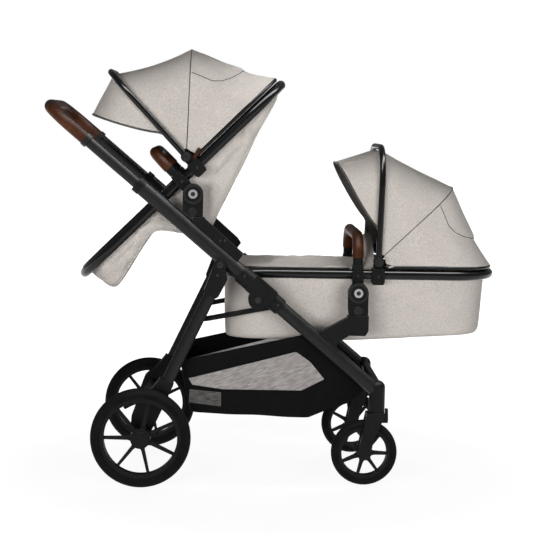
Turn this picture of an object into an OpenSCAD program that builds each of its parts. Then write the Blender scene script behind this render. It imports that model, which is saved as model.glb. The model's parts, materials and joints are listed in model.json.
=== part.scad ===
// Tandem pram: one folding chassis, a reclining seat above at the back, a carrycot below at the front.
// Millimetres. +X is forward, +Y is the pram's left, +Z is up, and the wheels stand on Z = 0.

/* [Wheels] */
// Outer diameter of a rear tyre
rear_wheel_diameter = 290; // [270:1:310]
// Outer diameter of a front tyre
front_wheel_diameter = 194; // [180:1:210]
// Distance between the rear and the front axle
wheelbase = 652; // [580:1:740]
// Distance from a main tube's axis out to the middle plane of the rear wheel beside it
rear_wheel_offset = 63; // [56:1:80]

/* [Frame] */
// Distance between the axes of the two main tubes
frame_width = 442; // [380:1:500]
// Diameter of a front leg tube
leg_diameter = 41; // [38:0.5:42]
// Diameter of an outer push tube
push_diameter = 46; // [44:0.5:47]
// Diameter of a rear leg tube
rear_leg_diameter = 36; // [32:0.5:38]
// Length of handle tube in sight between the push tube and the grip collar
handle_reach = 180; // [150:1:200]

/* [Seat and cot] */
// Outer length of each ring tube
ring_length = 836; // [780:1:900]
// Distance from a main tube's axis in to the outside of each ring tube
ring_side_gap = 27; // [24:0.5:34]
// Diameter of each ring tube
ring_diameter = 28; // [25:0.5:29]
// Slope of the seat's ring against the floor
seat_angle = 44.6; // [42:0.1:47]
// Depth of the cot body below its ring
cot_depth = 200; // [180:1:204]
// Height of each canopy's front bow above its pivot
canopy_height = 340; // [290:1:380]
// Reach of each visor in front of the bow
visor_depth = 132; // [100:1:150]

/* [Basket] */
// Depth of the basket below its rear rim
basket_depth = 152; // [130:1:156]

/* [Hidden] */
$fn = 64;
// Clearance between pieces that are fixed together
fit = 0.05;
// Radial clearance of a running fit
run = 0.08;
// Clearance between flat faces that move past each other
gap = 0.4;

// Wheels
rear_r = rear_wheel_diameter / 2;
front_r = front_wheel_diameter / 2;
frame_half = frame_width / 2;
rear_half = frame_half + rear_wheel_offset;
rear_tyre_half = 22;
front_tyre_half = 18;
rear_axle_r = 6;
front_axle_r = 5;
rear_axle = [-373.7, rear_r];
front_axle_x = rear_axle[0] + wheelbase;
caster_trail = 34.5;
caster_x = front_axle_x + caster_trail;

// Caster housing and fork
housing_r = 23.5;
housing_bottom = front_wheel_diameter + 35;
housing_height = 82;
housing_edge = 21;
stem_r = 7;
stem_length = 56;
fork_gap = front_tyre_half + 3;
fork_half = fork_gap + 7;
lock_pin_r = 4;
lock_pin_x = 17;
lock_travel = 6;

// Main tubes: one straight line on each side, from the caster housing up to the handle
frame_slope = 40.2;
tube_wall = 2;
foot_z = housing_bottom + 49.4;
leg_r = leg_diameter / 2;
push_r = push_diameter / 2;
handle_r = 16.5;
leg_end = 400;
lower_collar = [376, 408];
upper_collar = [468, 530];
collar_wall = 4.5;
push_start = 474;
push_end = 905;
push_bore_start = 640;
cap_length = 21;
handle_start = 762;
grip_r = 19;
grip_collar_r = 21.5;
grip_collar_length = 15;
grip_start = push_end + cap_length + handle_reach + grip_collar_length;
handle_bend = 90;
handle_end = grip_start + 140;
tongue_half = 14;
cheek_half = 26;

// A point in the side view: along the main tubes from the caster, and off their axis upwards
function on_axis(along, off) = [
    caster_x - along * cos(frame_slope) + off * sin(frame_slope),
    foot_z + along * sin(frame_slope) + off * cos(frame_slope)];

// Fold linkage, side view
fold_at = [441.4, -25.3];
fold_pivot = on_axis(fold_at[0], fold_at[1]);
leg_at = [590.8, -20.6];
leg_pivot = on_axis(leg_at[0], leg_at[1]);
link_at = [387, -10.8];
link_pivot = on_axis(link_at[0], link_at[1]);
link_r = 6;
link_inset = 34;
link_half = frame_half - link_inset;
link_bend = 28;
link_drop = 42;
link_cot_gap = 66;
pivot_pin_r = 5;

// Rear leg, in a frame with its origin on the rear axle and Z along the leg
rear_leg_r = rear_leg_diameter / 2;
leg_axis_lead = 14;
leg_run = [leg_pivot[0] + leg_axis_lead - rear_axle[0], leg_pivot[1] - rear_axle[1]];
leg_lean = atan2(leg_run[0], leg_run[1]);
leg_pivot_rise = leg_pivot[1] - rear_axle[1];
leg_pivot_run = leg_pivot[0] - rear_axle[0];
leg_pivot_local = [
    leg_pivot_run * cos(leg_lean) - leg_pivot_rise * sin(leg_lean),
    leg_pivot_run * sin(leg_lean) + leg_pivot_rise * cos(leg_lean)];
leg_socket = 62;
leg_top = leg_pivot_local[1] - 46;
head_half = push_r + 6.5;
beam_at = [-22, 75];
beam_r = 15;
beam_point = [
    rear_axle[0] + beam_at[0] * cos(leg_lean) + beam_at[1] * sin(leg_lean),
    rear_axle[1] - beam_at[0] * sin(leg_lean) + beam_at[1] * cos(leg_lean)];
casing_in = frame_half - 22;
casing_out = frame_half + 26;
pedal_half = 38;

// Seat and cot units, in a frame with its origin at the hub, X to the head end and Z off the ring
seat_at = [783.7, 82.2];
seat_hub = on_axis(seat_at[0], seat_at[1]);
cot_behind = 61.5;
cot_rise = 288.6;
cot_hub = [caster_x - cot_behind, foot_z + cot_rise];
ring_width = frame_width - 2 * ring_side_gap;
ring_r = ring_diameter / 2;
ring_rise = 50;
ring_l = ring_length / 2 - ring_r;
ring_w = ring_width / 2 - ring_r;
ring_corner = 130;
inner_l = ring_l - ring_r;
inner_w = ring_w - ring_r;
inner_corner = ring_corner - ring_r;
cloth_gap = 0.3;
link_end = [cot_hub[0] - inner_l - link_cot_gap, link_pivot[1] - link_drop];
arm_in = inner_w + 0.2;
arm_out = ring_width / 2 + 9;
arm_half = 17;
arm_top = 78;
hub_r = 29.5;
hub_pin_r = 8;
foot_in = arm_out + gap;
foot_out = frame_half + 9;
foot_half = 29;
foot_bottom = -66;
post = [8, 28];
post_depth = 14;
post_half = 9;
hub_boss = 3;
cap_r = 13;
cap_eye_r = 6.5;
cap_height = 2;
seat_heel = -8;
cot_heel = -26;
button_r = 12.5;
button_at = [0, -51];
button_depth = 8;
button_travel = 4;
bar_half = (arm_in + arm_out) / 2;
bar_rise = 161.5;
bar_bend = 60;
bar_r = 10;
bar_grip_r = 16.5;
bar_stem_r = 8;
bar_stem_depth = 11;
bar_collar_r = 14.5;
bar_collar_length = 22;

// Canopies
canopy_pivot = [59.3, 90.6];
clamp_half = 19;
lug = [inner_w + 10, inner_w + 20];
stud_r = 5;
front_bow_r = 9;
front_bow_angle = 88.5;
front_bow_half = lug[1] + gap + front_bow_r;
front_bow_bend = 110;
mid_bow_r = 5;
mid_bow_angle = 43.6;
mid_bow_clear = 1;
mid_bow_half = lug[0] - gap - mid_bow_r - 1;
cloth = 3;
canopy_half = front_bow_half - front_bow_r - 1.5;
canopy_bend = 105;
canopy_foot = 45;
mid_rise = canopy_height - 28;
rear_angle = -3.5;
rear_reach = inner_l - canopy_pivot[0] + ring_r;
visor_drop = 18;
visor_side = 98;
visor_curve = 0.85;

metal = [0.06, 0.06, 0.065];
plastic = [0.09, 0.09, 0.095];
rubber = [0.05, 0.05, 0.05];
leather = [0.36, 0.19, 0.1];
linen = [0.74, 0.7, 0.65];
dark_cloth = [0.1, 0.1, 0.1];
silver = [0.7, 0.7, 0.72];

// Helpers

module both_sides() {
    children();
    mirror([0, 1, 0]) children();
}

module plate(y0, y1) {
    translate([0, y1, 0]) rotate([90, 0, 0]) linear_extrude(height = y1 - y0) children();
}

module rod_y(at, r, y0, y1) {
    translate([at[0], y0, at[1]]) rotate([-90, 0, 0]) cylinder(r = r, h = y1 - y0);
}

// A rod along the main tube, between two distances from the caster
module rod_frame(from, to, r) {
    translate([-to, 0, 0]) rotate([0, 90, 0]) cylinder(r = r, h = to - from);
}

module in_frame() {
    translate([caster_x, 0, foot_z]) rotate([0, frame_slope, 0]) children();
}

module on_frame_side() {
    in_frame() translate([0, frame_half, 0]) children();
}

module in_rear_leg() {
    translate([rear_axle[0], 0, rear_axle[1]]) rotate([0, leg_lean, 0]) children();
}

module in_unit(hub, angle) {
    translate([hub[0], 0, hub[1]]) rotate([0, -angle, 0]) children();
}

module in_seat() {
    in_unit(seat_hub, seat_angle) children();
}

module in_cot() {
    in_unit(cot_hub, 0) children();
}

module at_canopy(angle) {
    translate([canopy_pivot[0], 0, canopy_pivot[1]]) rotate([0, 90 - angle, 0]) children();
}

// A tube bent to an upside-down U across the pram
module arch_tube(half, top, bend, r, start) {
    both_sides() {
        translate([0, half, start]) cylinder(r = r, h = top - bend - start);
        translate([0, half - bend, top - bend]) rotate([90, 0, 90])
            rotate_extrude(angle = 90) translate([bend, 0]) circle(r = r);
    }
    translate([0, bend - half, top]) rotate([-90, 0, 0]) cylinder(r = r, h = 2 * (half - bend));
}

// A tube bent to a flat ring with four round corners
module ring_tube(l, w, corner, r) {
    for (turn = [0, 180]) rotate([0, 0, turn]) {
        translate([corner - l, w, 0]) rotate([0, 90, 0]) cylinder(r = r, h = 2 * (l - corner));
        translate([l, corner - w, 0]) rotate([-90, 0, 0]) cylinder(r = r, h = 2 * (w - corner));
        translate([l - corner, w - corner, 0])
            rotate_extrude(angle = 90) translate([corner, 0]) circle(r = r);
        translate([corner - l, w - corner, 0]) rotate([0, 0, 90])
            rotate_extrude(angle = 90) translate([corner, 0]) circle(r = r);
    }
}

// Outline of a panel with round corners: c0 at the low X end, c1 at the high X end
corner_steps = 8;
function arc_points(cx, cy, r, start) = [
    for (i = [0 : corner_steps])
        [cx + r * cos(start + 90 * i / corner_steps), cy + r * sin(start + 90 * i / corner_steps)]];
function outline(x0, x1, w, c0, c1) = concat(
    arc_points(x1 - c1, w - c1, c1, 0), arc_points(x0 + c0, w - c0, c0, 90),
    arc_points(x0 + c0, c0 - w, c0, 180), arc_points(x1 - c1, c1 - w, c1, 270));
function at_height(points, z) = [for (p = points) [p[0], p[1], z]];
function cell(a, b, c, d) = [[a, b, c], [a, c, d]];

// A closed skin over loops of equal length, alike on both sides, with the first and the last loop closed
// by strips from side to side
module loop_skin(loops) {
    n = len(loops[0]);
    last = (len(loops) - 1) * n;
    polyhedron(
        points = [for (loop = loops) for (p = loop) p],
        faces = concat(
            [for (i = [0 : n / 2 - 2]) for (f = cell(i, i + 1, n - 2 - i, n - 1 - i)) f],
            [for (k = [0 : len(loops) - 2]) for (i = [0 : n - 1])
                [k * n + i, (k + 1) * n + i, k * n + (i + 1) % n]],
            [for (k = [0 : len(loops) - 2]) for (i = [0 : n - 1])
                [(k + 1) * n + i, (k + 1) * n + (i + 1) % n, k * n + (i + 1) % n]],
            [for (i = [0 : n / 2 - 2])
                for (f = cell(last + n - 1 - i, last + n - 2 - i, last + i + 1, last + i)) f]));
}

// A closed sheet between an outer and an inner grid of points
module sheet_skin(outer, inner) {
    rows = len(outer);
    n = len(outer[0]);
    deep = rows * n;
    polyhedron(
        points = concat([for (row = outer) for (p = row) p], [for (row = inner) for (p = row) p]),
        faces = concat(
            [for (j = [0 : rows - 2]) for (i = [0 : n - 2]) for (f = cell(
                j * n + i, (j + 1) * n + i, (j + 1) * n + i + 1, j * n + i + 1)) f],
            [for (j = [0 : rows - 2]) for (i = [0 : n - 2]) for (f = cell(
                deep + j * n + i, deep + j * n + i + 1, deep + (j + 1) * n + i + 1,
                deep + (j + 1) * n + i)) f],
            [for (j = [0 : rows - 2]) for (f = cell(
                j * n, deep + j * n, deep + (j + 1) * n, (j + 1) * n)) f],
            [for (j = [0 : rows - 2]) for (f = cell(
                j * n + n - 1, (j + 1) * n + n - 1, deep + (j + 1) * n + n - 1,
                deep + j * n + n - 1)) f],
            [for (i = [0 : n - 2]) for (f = cell(i, i + 1, deep + i + 1, deep + i)) f],
            [for (i = [0 : n - 2]) for (f = cell(
                (rows - 1) * n + i, deep + (rows - 1) * n + i, deep + (rows - 1) * n + i + 1,
                (rows - 1) * n + i + 1)) f]));
}

// Chassis, lower half

// A domed caster housing, or the room for it in the tubes that end at it
module housing_form(clear) {
    translate([caster_x, frame_half, housing_bottom]) rotate_extrude() {
        square([housing_r + clear, housing_height - housing_edge]);
        square([housing_r - housing_edge, housing_height + clear]);
        intersection() {
            translate([housing_r - housing_edge, housing_height - housing_edge])
                circle(r = housing_edge + clear);
            square([housing_r + clear, housing_height + clear]);
        }
    }
}

module front_legs() {
    color(metal) both_sides() difference() {
        on_frame_side() rod_frame(0, leg_end, leg_r);
        on_frame_side() rod_frame(-1, leg_end + 1, leg_r - tube_wall);
        housing_form(fit);
        rod_y(link_pivot, pivot_pin_r + fit, frame_half - leg_r - 1, frame_half);
    }
}

cross_tube_r = 13;
cross_tube_at = [caster_x + 4, foot_z + 9.6];
module front_cross_tube() {
    color(metal) difference() {
        rod_y(cross_tube_at, cross_tube_r, -frame_half, frame_half);
        both_sides() housing_form(fit);
    }
}

module caster_housings() {
    color(plastic) both_sides() difference() {
        housing_form(0);
        translate([caster_x, frame_half, housing_bottom - 1]) {
            cylinder(r = stem_r + run, h = stem_length + 3);
            for (side = [-1, 1]) translate([side * lock_pin_x, 0, 0])
                cylinder(r = lock_pin_r + gap, h = lock_travel + 3);
        }
    }
}

module fold_joint_lower() {
    color(plastic) both_sides() on_frame_side() difference() {
        union() {
            rod_frame(lower_collar[0], lower_collar[1], leg_r + collar_wall);
            plate(-tongue_half, tongue_half) {
                translate([-fold_at[0], fold_at[1]])
                    square([fold_at[0] - lower_collar[1] + 2, leg_r + 20]);
                translate([-fold_at[0], fold_at[1]]) circle(r = 24);
            }
        }
        rod_frame(lower_collar[0] - 1, leg_end + fit, leg_r + fit);
        rod_y([-fold_at[0], fold_at[1]], pivot_pin_r + fit, -frame_half, frame_half);
        rod_y([-link_at[0], link_at[1]], pivot_pin_r + fit, -frame_half, 0);
    }
}

link_pin_end = 12;
module frame_pins() {
    color(silver) both_sides() {
        rod_y(fold_pivot, pivot_pin_r, frame_half - cheek_half - 2, frame_half + cheek_half + 2);
        for (side = [-1, 1]) rod_y(fold_pivot, 9, frame_half + side * (cheek_half + 1.4) - 1,
            frame_half + side * (cheek_half + 1.4) + 1);
        rod_y(link_pivot, pivot_pin_r, link_half - link_r - 2, frame_half - link_pin_end - fit);
        rod_y(link_pivot, 8, link_half - link_r - 3, link_half - link_r - gap);
    }
}

module post_hole(hub) {
    plate(frame_half - post_half - gap, frame_half + post_half - 1 + gap)
        translate([hub[0] + post[0] - gap, hub[1] + foot_bottom - post_depth - 1])
            square([post[1] - post[0] + 2 * gap, post_depth + 2]);
}

socket_half = 15;
module cot_adapters() {
    color(plastic) both_sides() difference() {
        plate(frame_half - socket_half, frame_half + socket_half) translate(cot_hub) {
            polygon([[-31, foot_bottom - gap], [31, foot_bottom - gap], [31, -110], [22, -124], [-26, -124],
                [-62, -149], [-55, -172], [-124, -136], [-108, -114], [-31, -72]]);
        }
        on_frame_side() rod_frame(0, leg_end, leg_r + fit);
        post_hole(cot_hub);
    }
}

// Basket: the rim runs up the sides to the legs and down along them to the cross tube, and the floor
// rises to that tube in front
basket_half = frame_half - leg_r - cloth_gap;
basket_axle_gap = 108;
basket_peak_behind = 196;
basket_bend_behind = 155;
basket_rear = rear_axle[0] + basket_axle_gap;
basket_floor = front_wheel_diameter + 11;
basket_rim = basket_floor + basket_depth;
basket_peak = caster_x - basket_peak_behind;
basket_bend = caster_x - basket_bend_behind;
basket_bulge = 3;
basket_nose = cross_tube_at[0] - cross_tube_r - cloth_gap - basket_bulge;
basket_rim_slope = 0.2285;
basket_nose_slope = 0.5;
basket_draw = [30, 26, 8];
basket_corners = [30, 75];
function rim_height(x) = min(basket_rim + basket_rim_slope * (x - basket_rear),
    basket_rim + basket_rim_slope * (basket_peak - basket_rear) - tan(frame_slope) * (x - basket_peak));
function floor_height(x) = basket_floor + basket_nose_slope * max(0, x - basket_bend);
function basket_outline(x0, x1, w, c0, c1) = concat(
    arc_points(x1 - c1, w - c1, c1, 0), [[basket_bend, w], [basket_peak, w]],
    arc_points(x0 + c0, w - c0, c0, 90), arc_points(x0 + c0, c0 - w, c0, 180),
    [[basket_peak, -w], [basket_bend, -w]], arc_points(x1 - c1, c1 - w, c1, 270));
function basket_plan(share, inset) = basket_outline(
    basket_rear + basket_draw[0] * (1 - share) + inset, basket_nose - basket_draw[2] * (1 - share) - inset,
    basket_half - basket_draw[1] * (1 - share) - inset, basket_corners[0] - inset, basket_corners[1] - inset);
function basket_loop(share, inset) = [
    for (p = basket_plan(share, inset))
        [p[0], p[1], floor_height(p[0]) + share * (rim_height(p[0]) - floor_height(p[0]))]];
function basket_under(inset, drop) = [
    for (p = basket_plan(0, inset)) [p[0], p[1], floor_height(p[0]) - drop]];
module basket() {
    color(dark_cloth) loop_skin([
        basket_under(14, 8), basket_loop(0.04, 0), basket_loop(0.5, -basket_bulge), basket_loop(1, 0),
        basket_loop(1, cloth), basket_loop(0.5, cloth - basket_bulge), basket_loop(0.06, cloth + 1),
        basket_under(16, 4)]);
}

// Chassis, upper half

module push_tubes() {
    color(metal) both_sides() on_frame_side() difference() {
        union() {
            rod_frame(push_start, push_end, push_r);
            rod_y([-leg_at[0], leg_at[1]], 12, -20, 20);
        }
        rod_frame(push_bore_start, push_end + 1, handle_r + 0.5);
        rod_y([-leg_at[0], leg_at[1]], pivot_pin_r + run, -frame_half, frame_half);
    }
}

module push_collars() {
    color(plastic) both_sides() on_frame_side() difference() {
        rod_frame(push_end + fit, push_end + cap_length, push_r + 2);
        rod_frame(push_end - 1, push_end + cap_length + 1, handle_r + run);
    }
}

module fold_joint_upper() {
    color(plastic) both_sides() on_frame_side() difference() {
        union() {
            rod_frame(upper_collar[0], upper_collar[1], push_r + collar_wall);
            for (side = [-1, 1]) plate(
                side * (tongue_half + cheek_half + gap) / 2 - (cheek_half - tongue_half - gap) / 2,
                side * (tongue_half + cheek_half + gap) / 2 + (cheek_half - tongue_half - gap) / 2) {
                translate([-upper_collar[0] - 22, -27])
                    square([upper_collar[0] + 22 - lower_collar[1] - 1, 54]);
                translate([-fold_at[0], fold_at[1]]) circle(r = 28);
            }
        }
        rod_frame(push_start - fit, upper_collar[1] + 1, push_r + fit);
        rod_y([-fold_at[0], fold_at[1]], pivot_pin_r + run, -frame_half, frame_half);
    }
}

module seat_adapters() {
    color(plastic) both_sides() difference() {
        union() {
            on_frame_side() plate(-socket_half, socket_half)
                polygon([[-558, 12], [-560, 43], [-578, 48], [-708, 51], [-725, 12]]);
            plate(frame_half - socket_half, frame_half + socket_half) translate(seat_hub)
                polygon([[1, foot_bottom - gap], [34, foot_bottom - gap], [38, -74], [38, -110], [1, -90]]);
        }
        on_frame_side() rod_frame(push_start, push_end, push_r + fit);
        post_hole(seat_hub);
    }
}

module handle_u(r, start) {
    in_frame() rotate([0, -90, 0]) arch_tube(frame_half, handle_end, handle_bend, r, start);
}

module handle_tube() {
    color(metal) difference() {
        handle_u(handle_r, handle_start);
        handle_u(handle_r - tube_wall, handle_start - 1);
    }
    color(plastic) both_sides() on_frame_side() difference() {
        rod_frame(grip_start - grip_collar_length, grip_start - fit, grip_collar_r);
        rod_frame(grip_start - grip_collar_length - 1, grip_start + 1, handle_r + fit);
    }
}

module handle_grip() {
    color(leather) difference() {
        handle_u(grip_r, grip_start);
        handle_u(handle_r + fit, grip_start - 1);
    }
}

// Rear legs, axle unit and brake

module rear_legs() {
    color(metal) both_sides() in_rear_leg() translate([0, frame_half, leg_socket]) difference() {
        cylinder(r = rear_leg_r, h = leg_top - leg_socket);
        translate([0, 0, -1]) cylinder(r = rear_leg_r - tube_wall, h = leg_top - leg_socket + 2);
    }
}

module rear_leg_heads() {
    head_base = leg_top - 46;
    head_cap = leg_pivot_local[1] - 21;
    color(plastic) both_sides() in_rear_leg() translate([0, frame_half, 0]) {
        difference() {
            plate(-head_half, head_half) polygon([[-22, head_base + 6], [-16, head_base], [18, head_base],
                [23, head_base + 8], [25, head_cap - 8], [20, head_cap], [-28, head_cap]]);
            translate([0, 0, head_base - 1])
                cylinder(r = rear_leg_r + fit, h = leg_top - head_base + 1 + fit);
        }
        for (side = [-1, 1]) difference() {
            plate(side * (head_half + push_r + gap) / 2 - (head_half - push_r - gap) / 2,
                side * (head_half + push_r + gap) / 2 + (head_half - push_r - gap) / 2) {
                translate(leg_pivot_local) circle(r = 17.7);
                polygon([[-28, head_cap - 2], [20, head_cap - 2], leg_pivot_local + [17.5, 2],
                    leg_pivot_local + [-17.5, 2]]);
            }
        }
        rod_y(leg_pivot_local, pivot_pin_r, -head_half, head_half);
    }
}

module casing_side() {
    difference() {
        union() {
            plate(casing_in, casing_out) polygon([[20, 172], [22, 60], [20, -12], [10, -22], [-18, -20],
                [-36, 2], [-50, 40], [-54, 82], [-42, 112], [-30, 142], [-24, 172]]);
            rod_y([0, 0], 20, casing_out - 1, rear_half - rear_tyre_half - 1);
            rod_y([0, 0], rear_axle_r, casing_out, rear_half + rear_tyre_half - 4);
        }
        translate([0, frame_half, leg_socket - fit]) cylinder(r = rear_leg_r + fit, h = 140);
    }
}

module rear_axle_unit() {
    color(plastic) in_rear_leg() {
        both_sides() casing_side();
        rod_y(beam_at, beam_r, -casing_in - 1, casing_in + 1);
    }
}

module brake_pedal() {
    color(plastic) translate([beam_point[0], 0, beam_point[1]]) difference() {
        union() {
            rod_y([0, 0], beam_r + 5, -pedal_half, pedal_half);
            plate(-pedal_half, pedal_half) polygon([[-6, 19], [-24, 8], [-58, -14], [-76, -30], [-78, -37],
                [-72, -42], [-52, -31], [-12, -16]]);
        }
        rod_y([0, 0], beam_r + run, -pedal_half - 1, pedal_half + 1);
    }
}

module fold_link() {
    reach = link_end - link_pivot;
    color(metal) translate([link_pivot[0], 0, link_pivot[1]]) difference() {
        union() {
            rotate([0, atan2(reach[0], reach[1]), 0])
                arch_tube(link_half, norm(reach), link_bend, link_r, 7);
            both_sides() rod_y([0, 0], 11, link_half - link_r, link_half + link_r);
        }
        rod_y([0, 0], pivot_pin_r + run, -frame_half, frame_half);
    }
}

// Wheels

spokes = 7;

// A spoked rim about the Y axis, its outer face towards +Y
module rim(bead_r, band_r, half, hub_r, axle_r, hub_half, turn, bore_end) {
    difference() {
        union() {
            plate(-half + 3, half - 3) difference() {
                circle(r = bead_r);
                circle(r = band_r);
            }
            rod_y([0, 0], hub_r, -hub_half, hub_half - 4);
            rod_y([0, 0], hub_r - 8, hub_half - 5, hub_half);
            plate(-8, 8) for (k = [0 : spokes - 1]) rotate(turn + k * 360 / spokes)
                polygon([[hub_r - 6, -9], [hub_r + 8, -5], [band_r + 1, -3.6], [band_r + 1, 3.6],
                    [hub_r + 8, 5], [hub_r - 6, 9]]);
        }
        rod_y([0, 0], axle_r + run, -hub_half - 1, bore_end);
    }
}

// A foam tyre about the Y axis with a round tread
module tyre(r, bead_r, half) {
    tread_r = half + 2;
    rotate([90, 0, 0]) rotate_extrude() intersection() {
        translate([bead_r + fit, -half]) square([r - bead_r, 2 * half]);
        translate([r - tread_r, 0]) circle(r = tread_r);
    }
}

module rear_rim() {
    translate([rear_axle[0], rear_half, rear_axle[1]])
        rim(rear_r - 27, rear_r - 39, rear_tyre_half, 29, rear_axle_r, rear_tyre_half, 180,
            rear_tyre_half - 3);
}

module rear_tyre() {
    translate([rear_axle[0], rear_half, rear_axle[1]]) tyre(rear_r, rear_r - 27, rear_tyre_half);
}

module front_rim() {
    translate([front_axle_x, frame_half, front_r])
        rim(front_r - 20, front_r - 30.5, front_tyre_half, 22, front_axle_r, front_tyre_half, 358,
            front_tyre_half + 1);
}

module front_tyre() {
    translate([front_axle_x, frame_half, front_r]) tyre(front_r, front_r - 20, front_tyre_half);
}

module rear_right_rim() { color(plastic) mirror([0, 1, 0]) rear_rim(); }
module rear_right_tyre() { color(rubber) mirror([0, 1, 0]) rear_tyre(); }
module rear_left_rim() { color(plastic) rear_rim(); }
module rear_left_tyre() { color(rubber) rear_tyre(); }
module front_right_rim() { color(plastic) mirror([0, 1, 0]) front_rim(); }
module front_right_tyre() { color(rubber) mirror([0, 1, 0]) front_tyre(); }
module front_left_rim() { color(plastic) front_rim(); }
module front_left_tyre() { color(rubber) front_tyre(); }

// Caster fork: X from the swivel axis, Z from the floor
module fork() {
    crown = housing_bottom - gap;
    bridge = front_wheel_diameter + 9;
    axle = [-caster_trail, front_r];
    translate([caster_x, frame_half, 0]) difference() {
        union() {
            translate([0, 0, crown - 15]) cylinder(r = housing_r - 0.5, h = 15);
            translate([0, 0, crown - 2]) cylinder(r = stem_r, h = stem_length + 2);
            plate(-fork_half, fork_half) translate([-30, bridge]) square([52, 13]);
            for (side = [-1, 1]) plate(side * (fork_gap + fork_half) / 2 - (fork_half - fork_gap) / 2,
                side * (fork_gap + fork_half) / 2 + (fork_half - fork_gap) / 2) {
                translate(axle) circle(r = 19);
                polygon([[-30, bridge + 13], axle + [-12.5, 36], axle + [-18.8, 2], axle + [18.8, 2],
                    axle + [26, 41], axle + [46, 88], [22, bridge], [22, bridge + 13]]);
            }
            rod_y(axle, front_axle_r, -fork_half, fork_half);
        }
        translate([lock_pin_x, 0, bridge - 1]) cylinder(r = lock_pin_r + run, h = 60);
    }
}

// Swivel lock: a pin up through the fork crown, lifted by a tab in front
module swivel_lock() {
    crown = housing_bottom - gap;
    low = front_wheel_diameter - 8;
    translate([caster_x, frame_half, 0]) {
        translate([lock_pin_x, 0, low]) cylinder(r = lock_pin_r, h = crown - 2 - low);
        plate(-9, 9) polygon([[12, low], [33, low], [34, low + 10], [33, crown - 2], [25, crown - 2],
            [24.4, low + 9], [12, low + 9]]);
    }
}

module fork_right() { color(plastic) mirror([0, 1, 0]) fork(); }
module fork_left() { color(plastic) fork(); }
module swivel_lock_right() { color(plastic) mirror([0, 1, 0]) swivel_lock(); }
module swivel_lock_left() { color(plastic) swivel_lock(); }

// Pieces that the seat and the cot share

module unit_feet(heel) {
    both_sides() difference() {
        union() {
            rod_y([0, 0], hub_r, foot_in, foot_out + hub_boss);
            plate(foot_in + 2, foot_out) polygon([[-hub_r, 0], [-foot_half, -48], [heel, foot_bottom],
                [foot_half, foot_bottom], [hub_r, 0]]);
            plate(frame_half - post_half, frame_half + post_half - 1)
                translate([post[0], foot_bottom - post_depth]) square([post[1] - post[0], post_depth + 1]);
        }
        rod_y([0, 0], hub_pin_r + run, foot_in - 1, foot_out - 6);
        rod_y(button_at, button_r + run, foot_out - button_depth - button_travel - 0.5, foot_out + 1);
    }
}

module unit_release() {
    rod_y(button_at, button_r, foot_out - button_depth, foot_out + 3);
}

module unit_hub_caps() {
    both_sides() difference() {
        rod_y([0, 0], cap_r, foot_out + hub_boss + fit, foot_out + hub_boss + cap_height);
        rod_y([0, 0], cap_eye_r, foot_out, foot_out + hub_boss + cap_height + 1);
    }
}

module unit_ring(clear) {
    translate([0, 0, ring_rise]) ring_tube(ring_l, ring_w, ring_corner, ring_r + clear);
}

module ring_side_cut() {
    translate([-200, ring_w, ring_rise]) rotate([0, 90, 0]) cylinder(r = ring_r + fit, h = 400);
}

module unit_arms() {
    both_sides() difference() {
        union() {
            plate(arm_in, arm_out) polygon([
                [-arm_half, 30], [-arm_half + 2, arm_top], [arm_half - 2, arm_top], [arm_half, 30]]);
            plate(ring_w + 5, arm_out) {
                circle(r = 26);
                translate([-16, 0]) square([32, 36]);
            }
            rod_y([0, 0], hub_pin_r, arm_out - 1, foot_out - 7);
        }
        ring_side_cut();
        translate([0, bar_half, arm_top - bar_stem_depth - 1]) cylinder(r = bar_stem_r + run, h = 40);
    }
}

module unit_clamps() {
    both_sides() difference() {
        union() {
            plate(arm_in, arm_out) translate([canopy_pivot[0], 0]) polygon([
                [-clamp_half + 4, 22], [-clamp_half, 30], [-clamp_half, 66], [-clamp_half + 4, 70],
                [clamp_half - 4, 70], [clamp_half, 66], [clamp_half, 30], [clamp_half - 4, 22]]);
            plate(lug[0], lug[1]) translate([canopy_pivot[0], 0]) {
                translate([-14, 60]) square([28, canopy_pivot[1] - 60]);
                translate([0, canopy_pivot[1]]) circle(r = 14);
            }
            rod_y(canopy_pivot, stud_r, mid_bow_half - mid_bow_r - 2, front_bow_half + front_bow_r + 2);
            rod_y(canopy_pivot, 9, front_bow_half + front_bow_r + gap, front_bow_half + front_bow_r + 3);
        }
        ring_side_cut();
    }
}

module bar_arch(r, start) {
    arch_tube(bar_half, bar_rise, bar_bend, r, start);
}

module unit_bar() {
    bar_arch(bar_r, arm_top + gap + 2);
    both_sides() translate([0, bar_half, 0]) {
        translate([0, 0, arm_top - bar_stem_depth]) cylinder(r = bar_stem_r, h = bar_stem_depth + 3);
        translate([0, 0, arm_top + gap]) cylinder(r = bar_collar_r, h = bar_collar_length);
    }
}

module unit_bar_grip() {
    start = arm_top + gap + bar_collar_length + fit;
    difference() {
        bar_arch(bar_grip_r, start);
        bar_arch(bar_r + fit, start - 1);
    }
}

module unit_mid_bow() {
    at_canopy(mid_bow_angle) difference() {
        union() {
            arch_tube(mid_bow_half, mid_rise - cloth - mid_bow_r - mid_bow_clear, canopy_bend, mid_bow_r, 8);
            both_sides() rod_y([0, 0], 12, mid_bow_half - mid_bow_r, mid_bow_half + mid_bow_r);
        }
        rod_y([0, 0], stud_r + run, -frame_half, frame_half);
    }
}

module unit_front_bow() {
    at_canopy(front_bow_angle) difference() {
        union() {
            arch_tube(front_bow_half, canopy_height - front_bow_r, front_bow_bend, front_bow_r, 10);
            both_sides() rod_y([0, 0], 16, front_bow_half - front_bow_r, front_bow_half + front_bow_r);
        }
        rod_y([0, 0], stud_r + run, -frame_half, frame_half);
    }
}

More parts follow.
